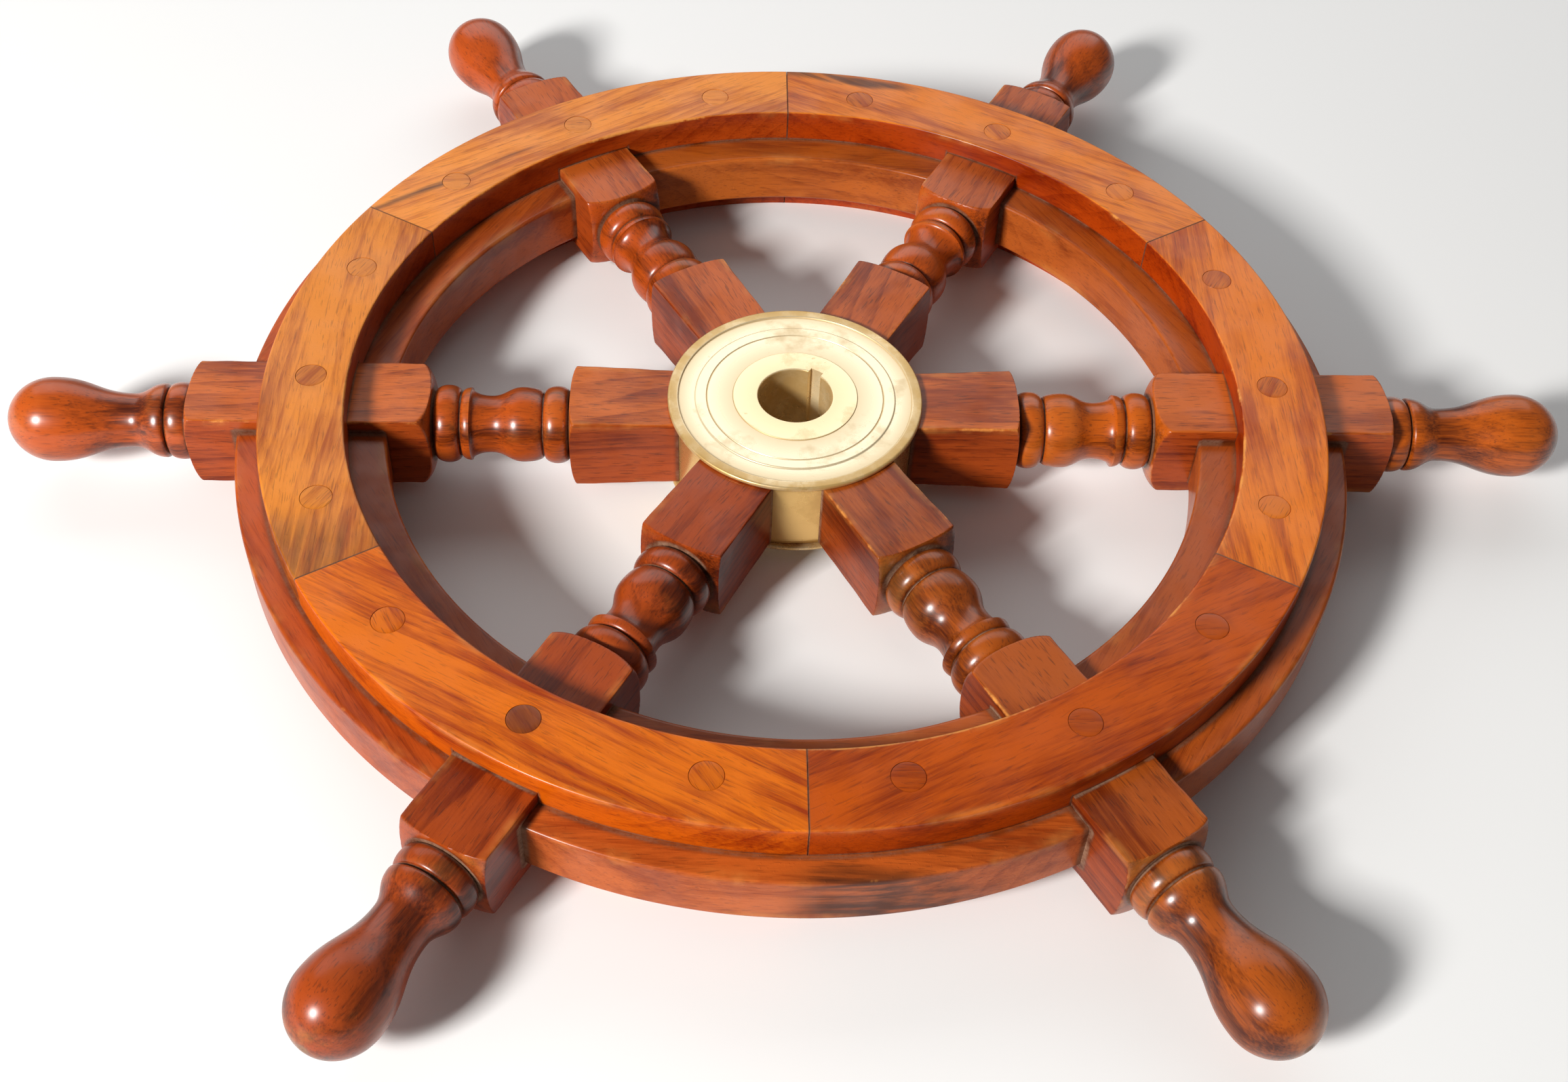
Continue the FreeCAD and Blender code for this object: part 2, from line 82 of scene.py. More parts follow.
# ---- surfaces -------------------------------------------------------------------------------
@dataclass
class Skin:
    """One closed surface: points in millimetres, quads, triangles and a mask value per point."""

    points: np.ndarray
    quads: np.ndarray
    triangles: np.ndarray
    masks: dict[str, np.ndarray] = field(default_factory=dict)

    def volume(self) -> float:
        """Signed volume: the sum of the tetrahedra from the origin to each triangle.

        Returns:
            The volume in cubic millimetres, below zero where the faces point inwards.
        """
        split = np.concatenate([self.quads[:, [0, 1, 2]], self.quads[:, [0, 2, 3]], self.triangles])
        a, b, c = (self.points[split[:, k]] for k in range(3))
        return float(np.einsum("ij,ij->i", a, np.cross(b, c)).sum() / 6)

    def facing_out(self) -> "Skin":
        """The same surface with its faces wound so that they point outwards."""
        if self.volume() >= 0:
            return self
        return self.inside_out()

    def inside_out(self) -> "Skin":
        """A copy with every face wound the other way."""
        return replace(self, quads=self.quads[:, ::-1], triangles=self.triangles[:, ::-1])

    def moved(self, offset: np.ndarray) -> "Skin":
        """A copy moved by an offset."""
        return replace(self, points=self.points + offset)

    def turned(self, degrees: float) -> "Skin":
        """A copy turned about the wheel's axis.

        Args:
            degrees: the angle, from +X towards +Y.

        Returns:
            The copy.
        """
        angle = math.radians(degrees)
        turn = np.array([[math.cos(angle), math.sin(angle), 0],
                         [-math.sin(angle), math.cos(angle), 0], [0, 0, 1]])
        return replace(self, points=self.points @ turn)

    def mirrored(self) -> "Skin":
        """A copy on the back of the wheel, with its winding put right."""
        return replace(self.inside_out(), points=self.points * np.array([1, 1, -1]))


def joined(skins: Sequence[Skin]) -> Skin:
    """Several surfaces in one, with the face numbers of each moved past those before it.

    Args:
        skins: surfaces that hold the same masks.

    Returns:
        One surface with all their points.
    """
    starts = np.cumsum([0] + [len(skin.points) for skin in skins[:-1]])
    return Skin(
        np.concatenate([skin.points for skin in skins]),
        np.concatenate([skin.quads + start for skin, start in zip(skins, starts)]),
        np.concatenate([skin.triangles + start for skin, start in zip(skins, starts)]),
        {name: np.concatenate([skin.masks[name] for skin in skins]) for name in skins[0].masks},
    )


def skin_from_grid(grid: np.ndarray, masks: dict[str, np.ndarray],
                   poles: Optional[np.ndarray] = None) -> Skin:
    """A grid of points made a closed surface: every row closes on itself.

    Without poles the last row joins the first, as on a ring. With poles a fan of triangles
    closes each end on its pole.

    Args:
        grid: points, rows by columns by three.
        masks: a value per grid point for each mask.
        poles: two points, or None.

    Returns:
        The surface, facing outwards.
    """
    rows, columns = grid.shape[:2]
    index = np.arange(rows * columns).reshape(rows, columns)
    beside = np.roll(index, -1, axis=1)
    points = grid.reshape(-1, 3)
    flat = {name: np.broadcast_to(mask, (rows, columns)).reshape(-1) for name, mask in masks.items()}
    if poles is None:
        below, below_beside = np.roll(index, -1, axis=0), np.roll(beside, -1, axis=0)
        quads = np.stack([index, beside, below_beside, below], -1).reshape(-1, 4)
        triangles = np.zeros((0, 3), int)
    else:
        quads = np.stack([index[:-1], beside[:-1], beside[1:], index[1:]], -1).reshape(-1, 4)
        first, last = np.full(columns, len(points)), np.full(columns, len(points) + 1)
        triangles = np.concatenate([np.stack([beside[0], index[0], first], -1),
                                    np.stack([index[-1], beside[-1], last], -1)])
        flat = {name: np.append(mask, [mask[:columns].mean(), mask[-columns:].mean()])
                for name, mask in flat.items()}
        points = np.concatenate([points, poles])
    return Skin(points, quads, triangles, flat).facing_out()


def mesh_of(name: str, skin: Skin) -> bpy.types.Object:
    """A Blender object in metres from a surface, smooth but for its sharp corners.

    Args:
        name: the piece's name.
        skin: the surface.

    Returns:
        The object, at the origin.
    """
    mesh = bpy.data.meshes.new(name)
    corners = np.concatenate([skin.quads.reshape(-1), skin.triangles.reshape(-1)])
    sizes = np.concatenate([np.full(len(skin.quads), 4), np.full(len(skin.triangles), 3)])
    mesh.vertices.add(len(skin.points))
    mesh.vertices.foreach_set("co", (skin.points * METRES).astype(np.float32).ravel())
    mesh.loops.add(len(corners))
    mesh.loops.foreach_set("vertex_index", corners.astype(np.int32))
    mesh.polygons.add(len(sizes))
    mesh.polygons.foreach_set("loop_start", (np.cumsum(sizes) - sizes).astype(np.int32))
    for mask_name, values in skin.masks.items():
        attribute = mesh.attributes.new(mask_name, "FLOAT", "POINT")
        attribute.data.foreach_set("value", np.clip(values, 0, 1).astype(np.float32))
    mesh.update(calc_edges=True)
    mesh.validate()
    smooth(mesh)
    piece = bpy.data.objects.new(name, mesh)
    bpy.context.scene.collection.objects.link(piece)
    return piece


def smooth(mesh: bpy.types.Mesh) -> None:
    """Smooth shading, split where two faces meet at a real corner."""
    mesh.polygons.foreach_set("use_smooth", np.ones(len(mesh.polygons), bool))
    mesh.set_sharp_from_angle(angle=math.radians(SHARP_DEGREES))


def pierced(piece: bpy.types.Object, cutter: Skin) -> bpy.types.Object:
    """Cuts holes through a piece and keeps the result as its mesh.

    Args:
        piece: the object to cut.
        cutter: closed surfaces of the holes, with no masks.

    Returns:
        The same object.
    """
    tool = mesh_of("cutter", cutter)
    cut = piece.modifiers.new("holes", "BOOLEAN")
    cut.object, cut.operation, cut.solver = tool, "DIFFERENCE", "EXACT"
    graph = bpy.context.evaluated_depsgraph_get()
    mesh = bpy.data.meshes.new_from_object(piece.evaluated_get(graph))
    piece.modifiers.clear()
    old, piece.data = piece.data, mesh
    mesh.name = piece.name
    bpy.data.meshes.remove(old)
    bpy.data.objects.remove(tool)
    smooth(mesh)
    return piece


def round_rows(radius: np.ndarray, height: np.ndarray, columns: int) -> np.ndarray:
    """Circles round the Z axis: (r cos a, r sin a, h) for a radius and a height per row.

    Args:
        radius: each row's radius.
        height: each row's height.
        columns: points on each circle.

    Returns:
        Points, rows by columns by three.
    """
    angle = np.linspace(0, 2 * math.pi, columns, endpoint=False)
    return np.stack(np.broadcast_arrays(radius[:, None] * np.cos(angle), radius[:, None] * np.sin(angle),
                                        height[:, None]), -1)


def lathe(profile: np.ndarray, columns: int, masks: dict[str, np.ndarray]) -> Skin:
    """A closed outline turned about the wheel's axis.

    Args:
        profile: the outline's (radius, height) points.
        columns: points round the axis.
        masks: a value per outline point for each mask.

    Returns:
        The surface.
    """
    return skin_from_grid(round_rows(profile[:, 0], profile[:, 1], columns),
                          {name: mask[:, None] for name, mask in masks.items()})


def rod(radius: np.ndarray, height: np.ndarray, columns: int, masks: dict[str, np.ndarray],
        end_height: float) -> Skin:
    """A round closed at both ends by fans of triangles.

    Args:
        radius: each row's radius.
        height: each row's height.
        columns: points round it.
        masks: a value per row for each mask.
        end_height: the height of the last pole. The first pole is level with the first row.

    Returns:
        The surface, standing on the origin's axis.
    """
    poles = np.array([[0, 0, height[0]], [0, 0, end_height]])
    return skin_from_grid(round_rows(radius, height, columns),
                          {name: mask[:, None] for name, mask in masks.items()}, poles)


def filleted(corners: Sequence[tuple[float, float, float]], steps: int = 5) -> np.ndarray:
    """A closed outline with each corner rounded by a quadratic curve through it.

    Between the tangent points at a distance d either side, the curve is
    (1-t)^2 before + 2t(1-t) corner + t^2 after. A point just past each end keeps the flats beside
    it flat when the surface is shaded.

    Args:
        corners: (radius, height, rounding distance) of each corner.
        steps: points on each rounded corner.

    Returns:
        The outline's (radius, height) points.
    """
    table = np.array(corners, float)
    here = table[:, :2]
    to_last = np.roll(here, 1, axis=0) - here
    to_next = np.roll(here, -1, axis=0) - here
    length_last = np.linalg.norm(to_last, axis=1, keepdims=True)
    length_next = np.linalg.norm(to_next, axis=1, keepdims=True)
    to_last, to_next, reach = to_last / length_last, to_next / length_next, table[:, 2:]
    spare_last = np.minimum((length_last - reach - np.roll(reach, 1, axis=0)) / 3, FLAT_SUPPORT)
    spare_next = np.minimum((length_next - reach - np.roll(reach, -1, axis=0)) / 3, FLAT_SUPPORT)
    before, after = here + to_last * reach, here + to_next * reach
    t = np.linspace(0, 1, steps)[None, :, None]
    curve = (1 - t) ** 2 * before[:, None] + 2 * t * (1 - t) * here[:, None] + t ** 2 * after[:, None]
    curve = np.concatenate([(before + to_last * spare_last)[:, None], curve,
                            (after + to_next * spare_next)[:, None]], axis=1)
    return curve.reshape(-1, 2)


def near(value: np.ndarray, place: float, reach: float) -> np.ndarray:
    """A bell that is 1 at the place and falls to a third within the reach."""
    return np.exp(-((value - place) / reach) ** 2)


def crowded(start: float, end: float, count: int, pull: float = 2.2) -> np.ndarray:
    """Values from start to end that crowd together at both ends, as a tanh curve does."""
    t = np.linspace(-1, 1, count)
    return start + (end - start) * (np.tanh(pull * t) / math.tanh(pull) + 1) / 2


# ---- positions ------------------------------------------------------------------------------
@dataclass(frozen=True)
class Places:
    """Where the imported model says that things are, in millimetres."""

    count: int
    tip: float
    half_stock: float
    felloe_outer: float
    felloe_face: float
    facing_outer: float
    facing_face: float
    drum: float
    drum_top: float
    plate: float
    plate_seat: float
    lip_top: float
    flange: float
    bush_top: float
    bush_foot: float
    bore: float
    floor: float
    felloe_width: float = 56.3
    facing_width: float = 31.9

    @classmethod
    def from_frame(cls) -> "Places":
        """Reads them from the nodes' boxes and the record's bore.

        Returns:
            The places.
        """
        def low(node: str) -> Vector:
            """A node's least corner in millimetres."""
            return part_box(node)[0] / METRES

        def high(node: str) -> Vector:
            """A node's greatest corner in millimetres."""
            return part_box(node)[1] / METRES

        mounts = {mount["name"]: mount for mount in frame["record"]["mounts"]}
        spoke, felloe, facing = high("spoke_1"), high("felloe_2"), high("front_facing_1")
        return cls(
            count=sum(name.startswith("spoke_") for name in frame["nodes"]),
            tip=spoke.x, half_stock=spoke.y, felloe_outer=felloe.y, felloe_face=felloe.z,
            facing_outer=facing.x, facing_face=facing.z, drum=high("hub_band").x,
            drum_top=high("hub_band").z, plate=high("hub_front_plate").x,
            plate_seat=low("hub_front_plate").z, lip_top=high("hub_front_plate").z,
            flange=high("hub_bush").x, bush_top=high("hub_bush").z, bush_foot=low("hub_bush").z,
            bore=mounts["hub_bore"]["dims"]["r_mm"], floor=CAD_BOX[0].z / METRES,
        )

    @property
    def step(self) -> float:
        """Degrees from one spoke to the next."""
        return 360 / self.count

    @property
    def felloe_inner(self) -> float:
        """The felloes' inner radius."""
        return self.felloe_outer - self.felloe_width

    @property
    def facing_inner(self) -> float:
        """The facings' inner radius."""
        return self.facing_outer - self.facing_width

    def fold(self, points: np.ndarray) -> np.ndarray:
        """The angle in radians from each point's direction to the nearest spoke.

        Args:
            points: points with X, Y and Z along the last axis.

        Returns:
            An angle per point.
        """
        half = math.radians(self.step / 2)
        return np.abs((np.arctan2(points[..., 1], points[..., 0]) + half) % (2 * half) - half)


# ---- shader nodes ---------------------------------------------------------------------------
class Signal:
    """A value in a shader tree: plain signs between signals add the nodes that work them out."""

    def __init__(self, bench: "Bench", socket: Socket) -> None:
        """Wraps an output socket."""
        self.bench, self.socket = bench, socket

    def __add__(self, other: Any) -> "Signal":
        """The sum."""
        return self.bench.math("ADD", self, other)

    def __sub__(self, other: Any) -> "Signal":
        """This value less the other."""
        return self.bench.math("SUBTRACT", self, other)

    def __rsub__(self, other: float) -> "Signal":
        """A number less this value."""
        return self.bench.math("SUBTRACT", other, self)

    def __mul__(self, other: Any) -> "Signal":
        """The product."""
        return self.bench.math("MULTIPLY", self, other)

    def __truediv__(self, other: Any) -> "Signal":
        """The quotient."""
        return self.bench.math("DIVIDE", self, other)

    def __pow__(self, power: float) -> "Signal":
        """The power."""
        return self.bench.math("POWER", self, power)

    def __or__(self, other: Any) -> "Signal":
        """The larger of the two."""
        return self.bench.math("MAXIMUM", self, other)

    def __abs__(self) -> "Signal":
        """Its size, whatever its sign."""
        return self.bench.math("ABSOLUTE", self)


class Bench:
    """Adds nodes to one shader tree and links them."""

    def __init__(self, tree: Tree) -> None:
        """Starts on a tree."""
        self.tree = tree

    def put(self, socket: Socket, value: Any) -> None:
        """Feeds a socket.

        Args:
            socket: the input.
            value: a signal or socket to link, a number, vector or colour to set, or None to leave it.
        """
        if isinstance(value, Signal):
            value = value.socket
        if isinstance(value, bpy.types.NodeSocket):
            self.tree.links.new(value, socket)
        elif isinstance(value, tuple) and socket.type == "RGBA":
            socket.default_value = (*value, 1.0)
        elif value is not None:
            socket.default_value = value

    def add(self, kind: str, inputs: dict[Any, Any], output: Any = 0, **settings: Any) -> Signal:
        """Adds one node.

        Args:
            kind: the node's type.
            inputs: a value for each named or numbered input.
            output: which output is wanted.
            **settings: the node's own settings.

        Returns:
            That output.
        """
        node = self.tree.nodes.new(kind)
        for name, value in settings.items():
            setattr(node, name, value)
        for name, value in inputs.items():
            self.put(node.inputs[name], value)
        return Signal(self, node.outputs[output])

    def math(self, operation: str, a: Any, b: Any = None) -> Signal:
        """An operation on numbers."""
        return self.add("ShaderNodeMath", {0: a, 1: b}, operation=operation)

    def vector(self, operation: str, a: Any, b: Any = None) -> Signal:
        """An operation on vectors."""
        return self.add("ShaderNodeVectorMath", {0: a, 1: b}, operation=operation)

    def length(self, a: Any) -> Signal:
        """A vector's length."""
        return self.add("ShaderNodeVectorMath", {0: a}, "Value", operation="LENGTH")

    def parts(self, vector: Any) -> list[Signal]:
        """A vector's three numbers."""
        first = self.add("ShaderNodeSeparateXYZ", {0: vector})
        return [Signal(self, socket) for socket in first.socket.node.outputs]

    def combine(self, x: Any, y: Any, z: Any) -> Signal:
        """A vector from three numbers."""
        return self.add("ShaderNodeCombineXYZ", {0: x, 1: y, 2: z})

    def between(self, value: Any, low: float, high: float, to_low: float = 0.0,
                to_high: float = 1.0) -> Signal:
        """A smooth step from one range to another."""
        return self.add("ShaderNodeMapRange", {0: value, 1: low, 2: high, 3: to_low, 4: to_high},
                        interpolation_type="SMOOTHSTEP")

    def noise(self, vector: Any, scale: Any, detail: float = 2.0, roughness: float = 0.5,
              distortion: float = 0.0, output: Any = 0) -> Signal:
        """Cloudy noise about a half.

        Args:
            vector: the point it is read at.
            scale: its cells per metre, or three such numbers for noise drawn out along an axis.
            detail: how many finer layers it has.
            roughness: how strong the finer layers are.
            distortion: how far it is stirred.
            output: 0 for a number, "Color" for three.

        Returns:
            The noise.
        """
        if isinstance(scale, tuple):
            vector, scale = self.vector("MULTIPLY", vector, scale), 1.0
        return self.add("ShaderNodeTexNoise", {"Vector": vector, "Scale": scale, "Detail": detail,
                                               "Roughness": roughness, "Distortion": distortion}, output)

    def mix(self, factor: Any, a: Any, b: Any, blend: str = "MIX") -> Signal:
        """Two colours mixed."""
        return self.add("ShaderNodeMix", {0: factor, 6: a, 7: b}, 2, data_type="RGBA", blend_type=blend,
                        clamp_factor=True)

    def mask(self, name: str) -> Signal:
        """A mask that the mesh carries."""
        return self.add("ShaderNodeAttribute", {}, "Fac", attribute_name=name, attribute_type="GEOMETRY")

    def place(self) -> Signal:
        """The point on the piece, in metres from the wheel's centre."""
        return self.add("ShaderNodeTexCoord", {}, "Object")

    def bump(self, height: Any, strength: float, distance: float, normal: Optional[Signal] = None) -> Signal:
        """A normal tilted by a height."""
        return self.add("ShaderNodeBump", {"Height": height, "Strength": strength, "Distance": distance,
                                           "Normal": normal})

    def group(self, tree: Tree, inputs: dict[str, Any]) -> dict[str, Signal]:
        """A shared effect placed in this tree.

        Args:
            tree: the effect.
            inputs: its values here.

        Returns:
            Its outputs by name.
        """
        first = self.add("ShaderNodeGroup", inputs, node_tree=tree)
        return {socket.name: Signal(self, socket) for socket in first.socket.node.outputs}

    def surface(self, inputs: dict[str, Any]) -> None:
        """Ends the tree in a Principled surface with these inputs."""
        shader = self.add("ShaderNodeBsdfPrincipled", inputs)
        node = self.tree.nodes.new("ShaderNodeOutputMaterial")
        self.put(node.inputs["Surface"], shader)


def blank_material(name: str) -> tuple[bpy.types.Material, Bench]:
    """An empty material and the bench to fill it on.

    Args:
        name: the material's name.

    Returns:
        The material and its bench.
    """
    material = bpy.data.materials.new(name)
    material.use_nodes = True
    material.node_tree.nodes.clear()
    return material, Bench(material.node_tree)


class Kind(Enum):
    """What a group's socket carries."""

    NUMBER = "NodeSocketFloat"
    COLOUR = "NodeSocketColor"
    VECTOR = "NodeSocketVector"


class Effect:
    """A shader node group with named inputs and outputs."""

    def __init__(self, name: str, inputs: dict[str, Kind], outputs: dict[str, Kind]) -> None:
        """Makes the group's sockets and its two end nodes.

        Args:
            name: the group's name.
            inputs: what comes in. Every material that uses the group gives it every value.
            outputs: what goes out.
        """
        self.tree = bpy.data.node_groups.new(name, "ShaderNodeTree")
        for direction, sockets in (("INPUT", inputs), ("OUTPUT", outputs)):
            for label, kind in sockets.items():
                self.tree.interface.new_socket(label, in_out=direction, socket_type=kind.value)
        self.bench = Bench(self.tree)
        self.start = self.tree.nodes.new("NodeGroupInput")
        self.end = self.tree.nodes.new("NodeGroupOutput")

    def given(self, label: str) -> Signal:
        """What comes in under a name."""
        return Signal(self.bench, self.start.outputs[label])

    def give(self, label: str, value: Signal) -> None:
        """Sends a value out under a name."""
        self.bench.put(self.end.inputs[label], value)


@dataclass(frozen=True)
class TimberPattern:
    """How the timber's pattern is drawn.

    Each scale is in cells per metre along X, Y and Z, and the grain runs along X. Lengths are in
    metres. A weight is a layer's share of the darkening.
    """

    wander: Scale = (7.0, 26.0, 26.0)
    wander_reach: Scale = (0.0, 0.011, 0.011)
    broad: Scale = (9.0, 95.0, 95.0)
    patches: Scale = (16.0, 38.0, 38.0)
    fibres: Scale = (60.0, 1150.0, 1150.0)
    pores: Scale = (150.0, 1900.0, 1900.0)
    heart_wobble: Scale = (18.0, 60.0, 60.0)
    heart_stripes: Scale = (12.0, 330.0, 330.0)
    rings: float = 235.0
    ring_sharpness: float = 2.6
    pith_depth: float = 0.055
    pith_aside: float = 0.05
    pith_tilt: float = 0.16
    ring_weight: float = 0.42
    broad_weight: float = 0.40
    patch_weight: float = 0.46
    fibre_weight: float = 0.75
    lightest: float = 0.17
    darkest: float = 0.84
    pore_weight: float = 0.55


def timber_effect() -> Tree:
    """Grain, streaks, fibres and pores of a board whose grain runs along X.

    The growth rings are bands of equal distance from a tilted pith line, shifted by noise. Fibres
    and pores are noise drawn out along the grain. The heart is a dark band of wandering edges: a
    point is inside it where its distance from a sloping line, over the band's width, is under one.

    Returns:
        The group's tree.
    """
    effect = Effect(
        "timber",
        {"Vector": Kind.VECTOR, "Seed": Kind.NUMBER, "Pale": Kind.COLOUR, "Deep": Kind.COLOUR,
         "Heart": Kind.COLOUR, "Figure": Kind.NUMBER, "Heart Amount": Kind.NUMBER, "Heart Place": Kind.NUMBER,
         "Heart Slope": Kind.NUMBER, "Heart Width": Kind.NUMBER, "Heart From": Kind.NUMBER,
         "Pores": Kind.NUMBER},
        {"Color": Kind.COLOUR, "Height": Kind.NUMBER})
    pattern, bench = TimberPattern(), effect.bench
    place, seed, heart_width = effect.given("Vector"), effect.given("Seed"), effect.given("Heart Width")

    moved = bench.vector("ADD", place, bench.combine(seed * 0.731, seed * 0.217, seed * 0.519))
    wander = bench.vector("SUBTRACT", bench.noise(moved, pattern.wander, output="Color"), (0.5, 0.5, 0.5))
    bent = bench.vector("ADD", place, bench.vector("MULTIPLY", wander, pattern.wander_reach))
    x, y, z = bench.parts(bent)

    tilt = bench.math("SINE", seed * 2.3) * pattern.pith_tilt
    aside = bench.math("SINE", seed * 5.1) * pattern.pith_aside
    from_pith = bench.length(bench.combine(y + x * tilt + aside, z + pattern.pith_depth, 0.0))
    ring = bench.math("FRACT", from_pith * pattern.rings)
    ring_tone = ring ** pattern.ring_sharpness * bench.between(ring, 0.93, 1.0, 1.0, 0.0)

    broad = bench.between(bench.noise(bent, pattern.broad, 3.0, 0.55), 0.34, 0.68)
    patches = bench.between(bench.noise(moved, pattern.patches, 3.0, 0.6, 0.3), 0.3, 0.7)
    fibre = bench.noise(bent, pattern.fibres, 3.0, 0.6)
    tone = effect.given("Figure") * ring_tone * pattern.ring_weight \
        + (broad * pattern.broad_weight + patches * pattern.patch_weight) \
        + ((fibre - 0.5) * pattern.fibre_weight - pattern.lightest)
    colour = bench.mix(bench.between(tone, 0.0, pattern.darkest), effect.given("Pale"), effect.given("Deep"))

    wobble = bench.noise(moved, pattern.heart_wobble, 3.0, 0.6)
    band = abs(y - effect.given("Heart Place") - x * effect.given("Heart Slope"))
    band = band + (wobble - 0.5) * (heart_width * 1.9)
    inside = bench.between(1.0 - band / heart_width, 0.0, 0.9)
    started = bench.between(x - effect.given("Heart From"), -0.008, 0.012)
    stripes = bench.between(bench.noise(bent, pattern.heart_stripes, 3.0), 0.3, 0.62)
    heart = inside * started * effect.given("Heart Amount") * (stripes * 0.7 + 0.3)
    colour = bench.mix(heart, colour, effect.given("Heart"))

    pores = bench.between(bench.noise(bent, pattern.pores, 1.0, 0.4), 0.60, 0.70) * effect.given("Pores")
    effect.give("Color", bench.mix(pores * pattern.pore_weight, colour, effect.given("Heart")))
    effect.give("Height", fibre * 0.5 - pores)
    return effect.tree


def wear_effect() -> Tree:
    """Rubbed edges: bare pale wood where the edge mask and a broken noise are both high.

    Returns:
        The group's tree.
    """
    effect = Effect(
        "edge_wear",
        {"Vector": Kind.VECTOR, "Color": Kind.COLOUR, "Bare": Kind.COLOUR, "Edge": Kind.NUMBER,
         "Amount": Kind.NUMBER},
        {"Color": Kind.COLOUR, "Worn": Kind.NUMBER})
    bench, place, edge = effect.bench, effect.given("Vector"), effect.given("Edge")
    broken = bench.noise(place, 95.0, 4.0, 0.7)
    long = bench.noise(place, 17.0, 2.0, 0.5)
    level = broken * 0.6 + long * 0.8 - 1.0 + effect.given("Amount")
    worn = bench.between(edge * bench.between(level, 0.02, 0.34), 0.25, 0.9, 0.0, 0.8)
    halo = bench.between(edge ** 0.25, 0.12, 0.8)
    patchy = bench.between(bench.noise(place, 30.0, 4.0, 0.65), 0.48, 0.68, 0.0, 0.25)
    thin = bench.mix(halo * patchy, effect.given("Color"), effect.given("Bare"))
    effect.give("Color", bench.mix(worn, thin, effect.given("Bare")))
    effect.give("Worn", worn)
    return effect.tree


def shade_and_dust_effect() -> Tree:
    """Corners: painted shade with some grime, dark and deep in them, and pale dust on top of it.

    Returns:
        The group's tree.
    """
    effect = Effect(
        "corner_dust",
        {"Vector": Kind.VECTOR, "Color": Kind.COLOUR, "Corner": Kind.NUMBER, "Stain": Kind.COLOUR,
         "Dust": Kind.COLOUR, "Stain Amount": Kind.NUMBER, "Dust Amount": Kind.NUMBER},
        {"Color": Kind.COLOUR, "Dull": Kind.NUMBER})
    bench, place, corner = effect.bench, effect.given("Vector"), effect.given("Corner")
    cloud = bench.noise(place, 60.0, 4.0, 0.65)
    grit = bench.noise(place, 900.0, 2.0, 0.6)
    # painted shade with some grime, darkest deep in the corners
    shade_grime = bench.between(corner, 0.05, 0.8) * effect.given("Stain Amount")
    lie = bench.between(corner, 0.22, 0.75) * bench.between(cloud, 0.34, 0.56)
    dust = lie * bench.between(grit, 0.2, 0.6, 0.35, 1.0) * effect.given("Dust Amount")
    shade_grimed = bench.mix(shade_grime, effect.given("Color"), effect.given("Stain"))
    effect.give("Color", bench.mix(dust, shade_grimed, effect.given("Dust")))
    effect.give("Dull", dust | shade_grime * 0.6)
    return effect.tree


@dataclass(frozen=True)
class ScrewCircle:
    """Where the plugs sit on the rim, in millimetres and degrees."""

    radius: float = 184.85
    spread: float = 19.9
    plug: float = 5.9
    depth: float = 5.0
    sink: float = 0.1

    def angles(self, count: int) -> np.ndarray:
        """The angle of every plug on one face of the rim."""
        spokes = np.arange(count)[:, None] * (360 / count)
        return (spokes + np.array([-self.spread, 0, self.spread])).reshape(-1)

    def centre(self, degrees: float) -> np.ndarray:
        """The point of the circle in a direction."""
        return self.radius * np.array([math.cos(math.radians(degrees)), math.sin(math.radians(degrees)), 0])


def rim_effect(circle: ScrewCircle, count: int) -> Tree:
    """Marks that repeat round the rim: the butt joints, and the ring of each plug.

    A point's angle is folded into one segment: the distance to the joint is the radius times the
    angle left to the half step, and the distance to a plug is measured to its centre on the circle.

    Args:
        circle: the plugs' places.
        count: the number of segments.

    Returns:
        The group's tree.
    """
    effect = Effect("rim_marks", {"Vector": Kind.VECTOR},
                    {"Joint": Kind.NUMBER, "Plug Ring": Kind.NUMBER, "Plug Halo": Kind.NUMBER})
    bench = effect.bench
    x, y, _ = bench.parts(effect.given("Vector"))
    radius = bench.length(bench.combine(x, y, 0.0))
    half, two_turns = math.pi / count, 4 * math.pi
    folded = bench.math("PINGPONG", bench.math("ARCTAN2", y, x) + two_turns, half)
    along = radius * bench.math("COSINE", folded)
    aside = radius * bench.math("SINE", folded)
    centre, plug = circle.radius * METRES, circle.plug * METRES
    to_plugs = [
        bench.length(bench.combine(along - centre * math.cos(turn), aside - centre * math.sin(turn), 0.0))
        for turn in (0.0, math.radians(circle.spread))]
    nearest = bench.math("MINIMUM", *to_plugs)
    effect.give("Joint", bench.between((half - folded) * radius, 0.00012, 0.0006, 1.0, 0.0))
    effect.give("Plug Ring", bench.between(abs(nearest - plug), 0.0001, 0.0007, 1.0, 0.0))
    effect.give("Plug Halo", bench.between(nearest, plug, 0.0105, 1.0, 0.0))
    return effect.tree


def varnish_effect() -> Tree:
    """Brushed varnish: slow waves, small dust nibs, and a gloss that comes and goes.

    Returns:
        The group's tree.
    """
    effect = Effect("varnish", {"Vector": Kind.VECTOR}, {"Height": Kind.NUMBER, "Gloss": Kind.NUMBER})
    bench, place = effect.bench, effect.given("Vector")
    wave = bench.noise(place, 210.0, 3.0, 0.55)
    nibs = bench.between(bench.noise(place, 620.0, 1.0, 0.4), 0.70, 0.78)
    fine = bench.noise(place, 950.0, 2.0, 0.6)
    effect.give("Height", wave * 0.8 + nibs * 0.7 + fine * 0.30)
    effect.give("Gloss", bench.between(bench.noise(place, 38.0, 4.0, 0.6), 0.3, 0.7))
    return effect.tree


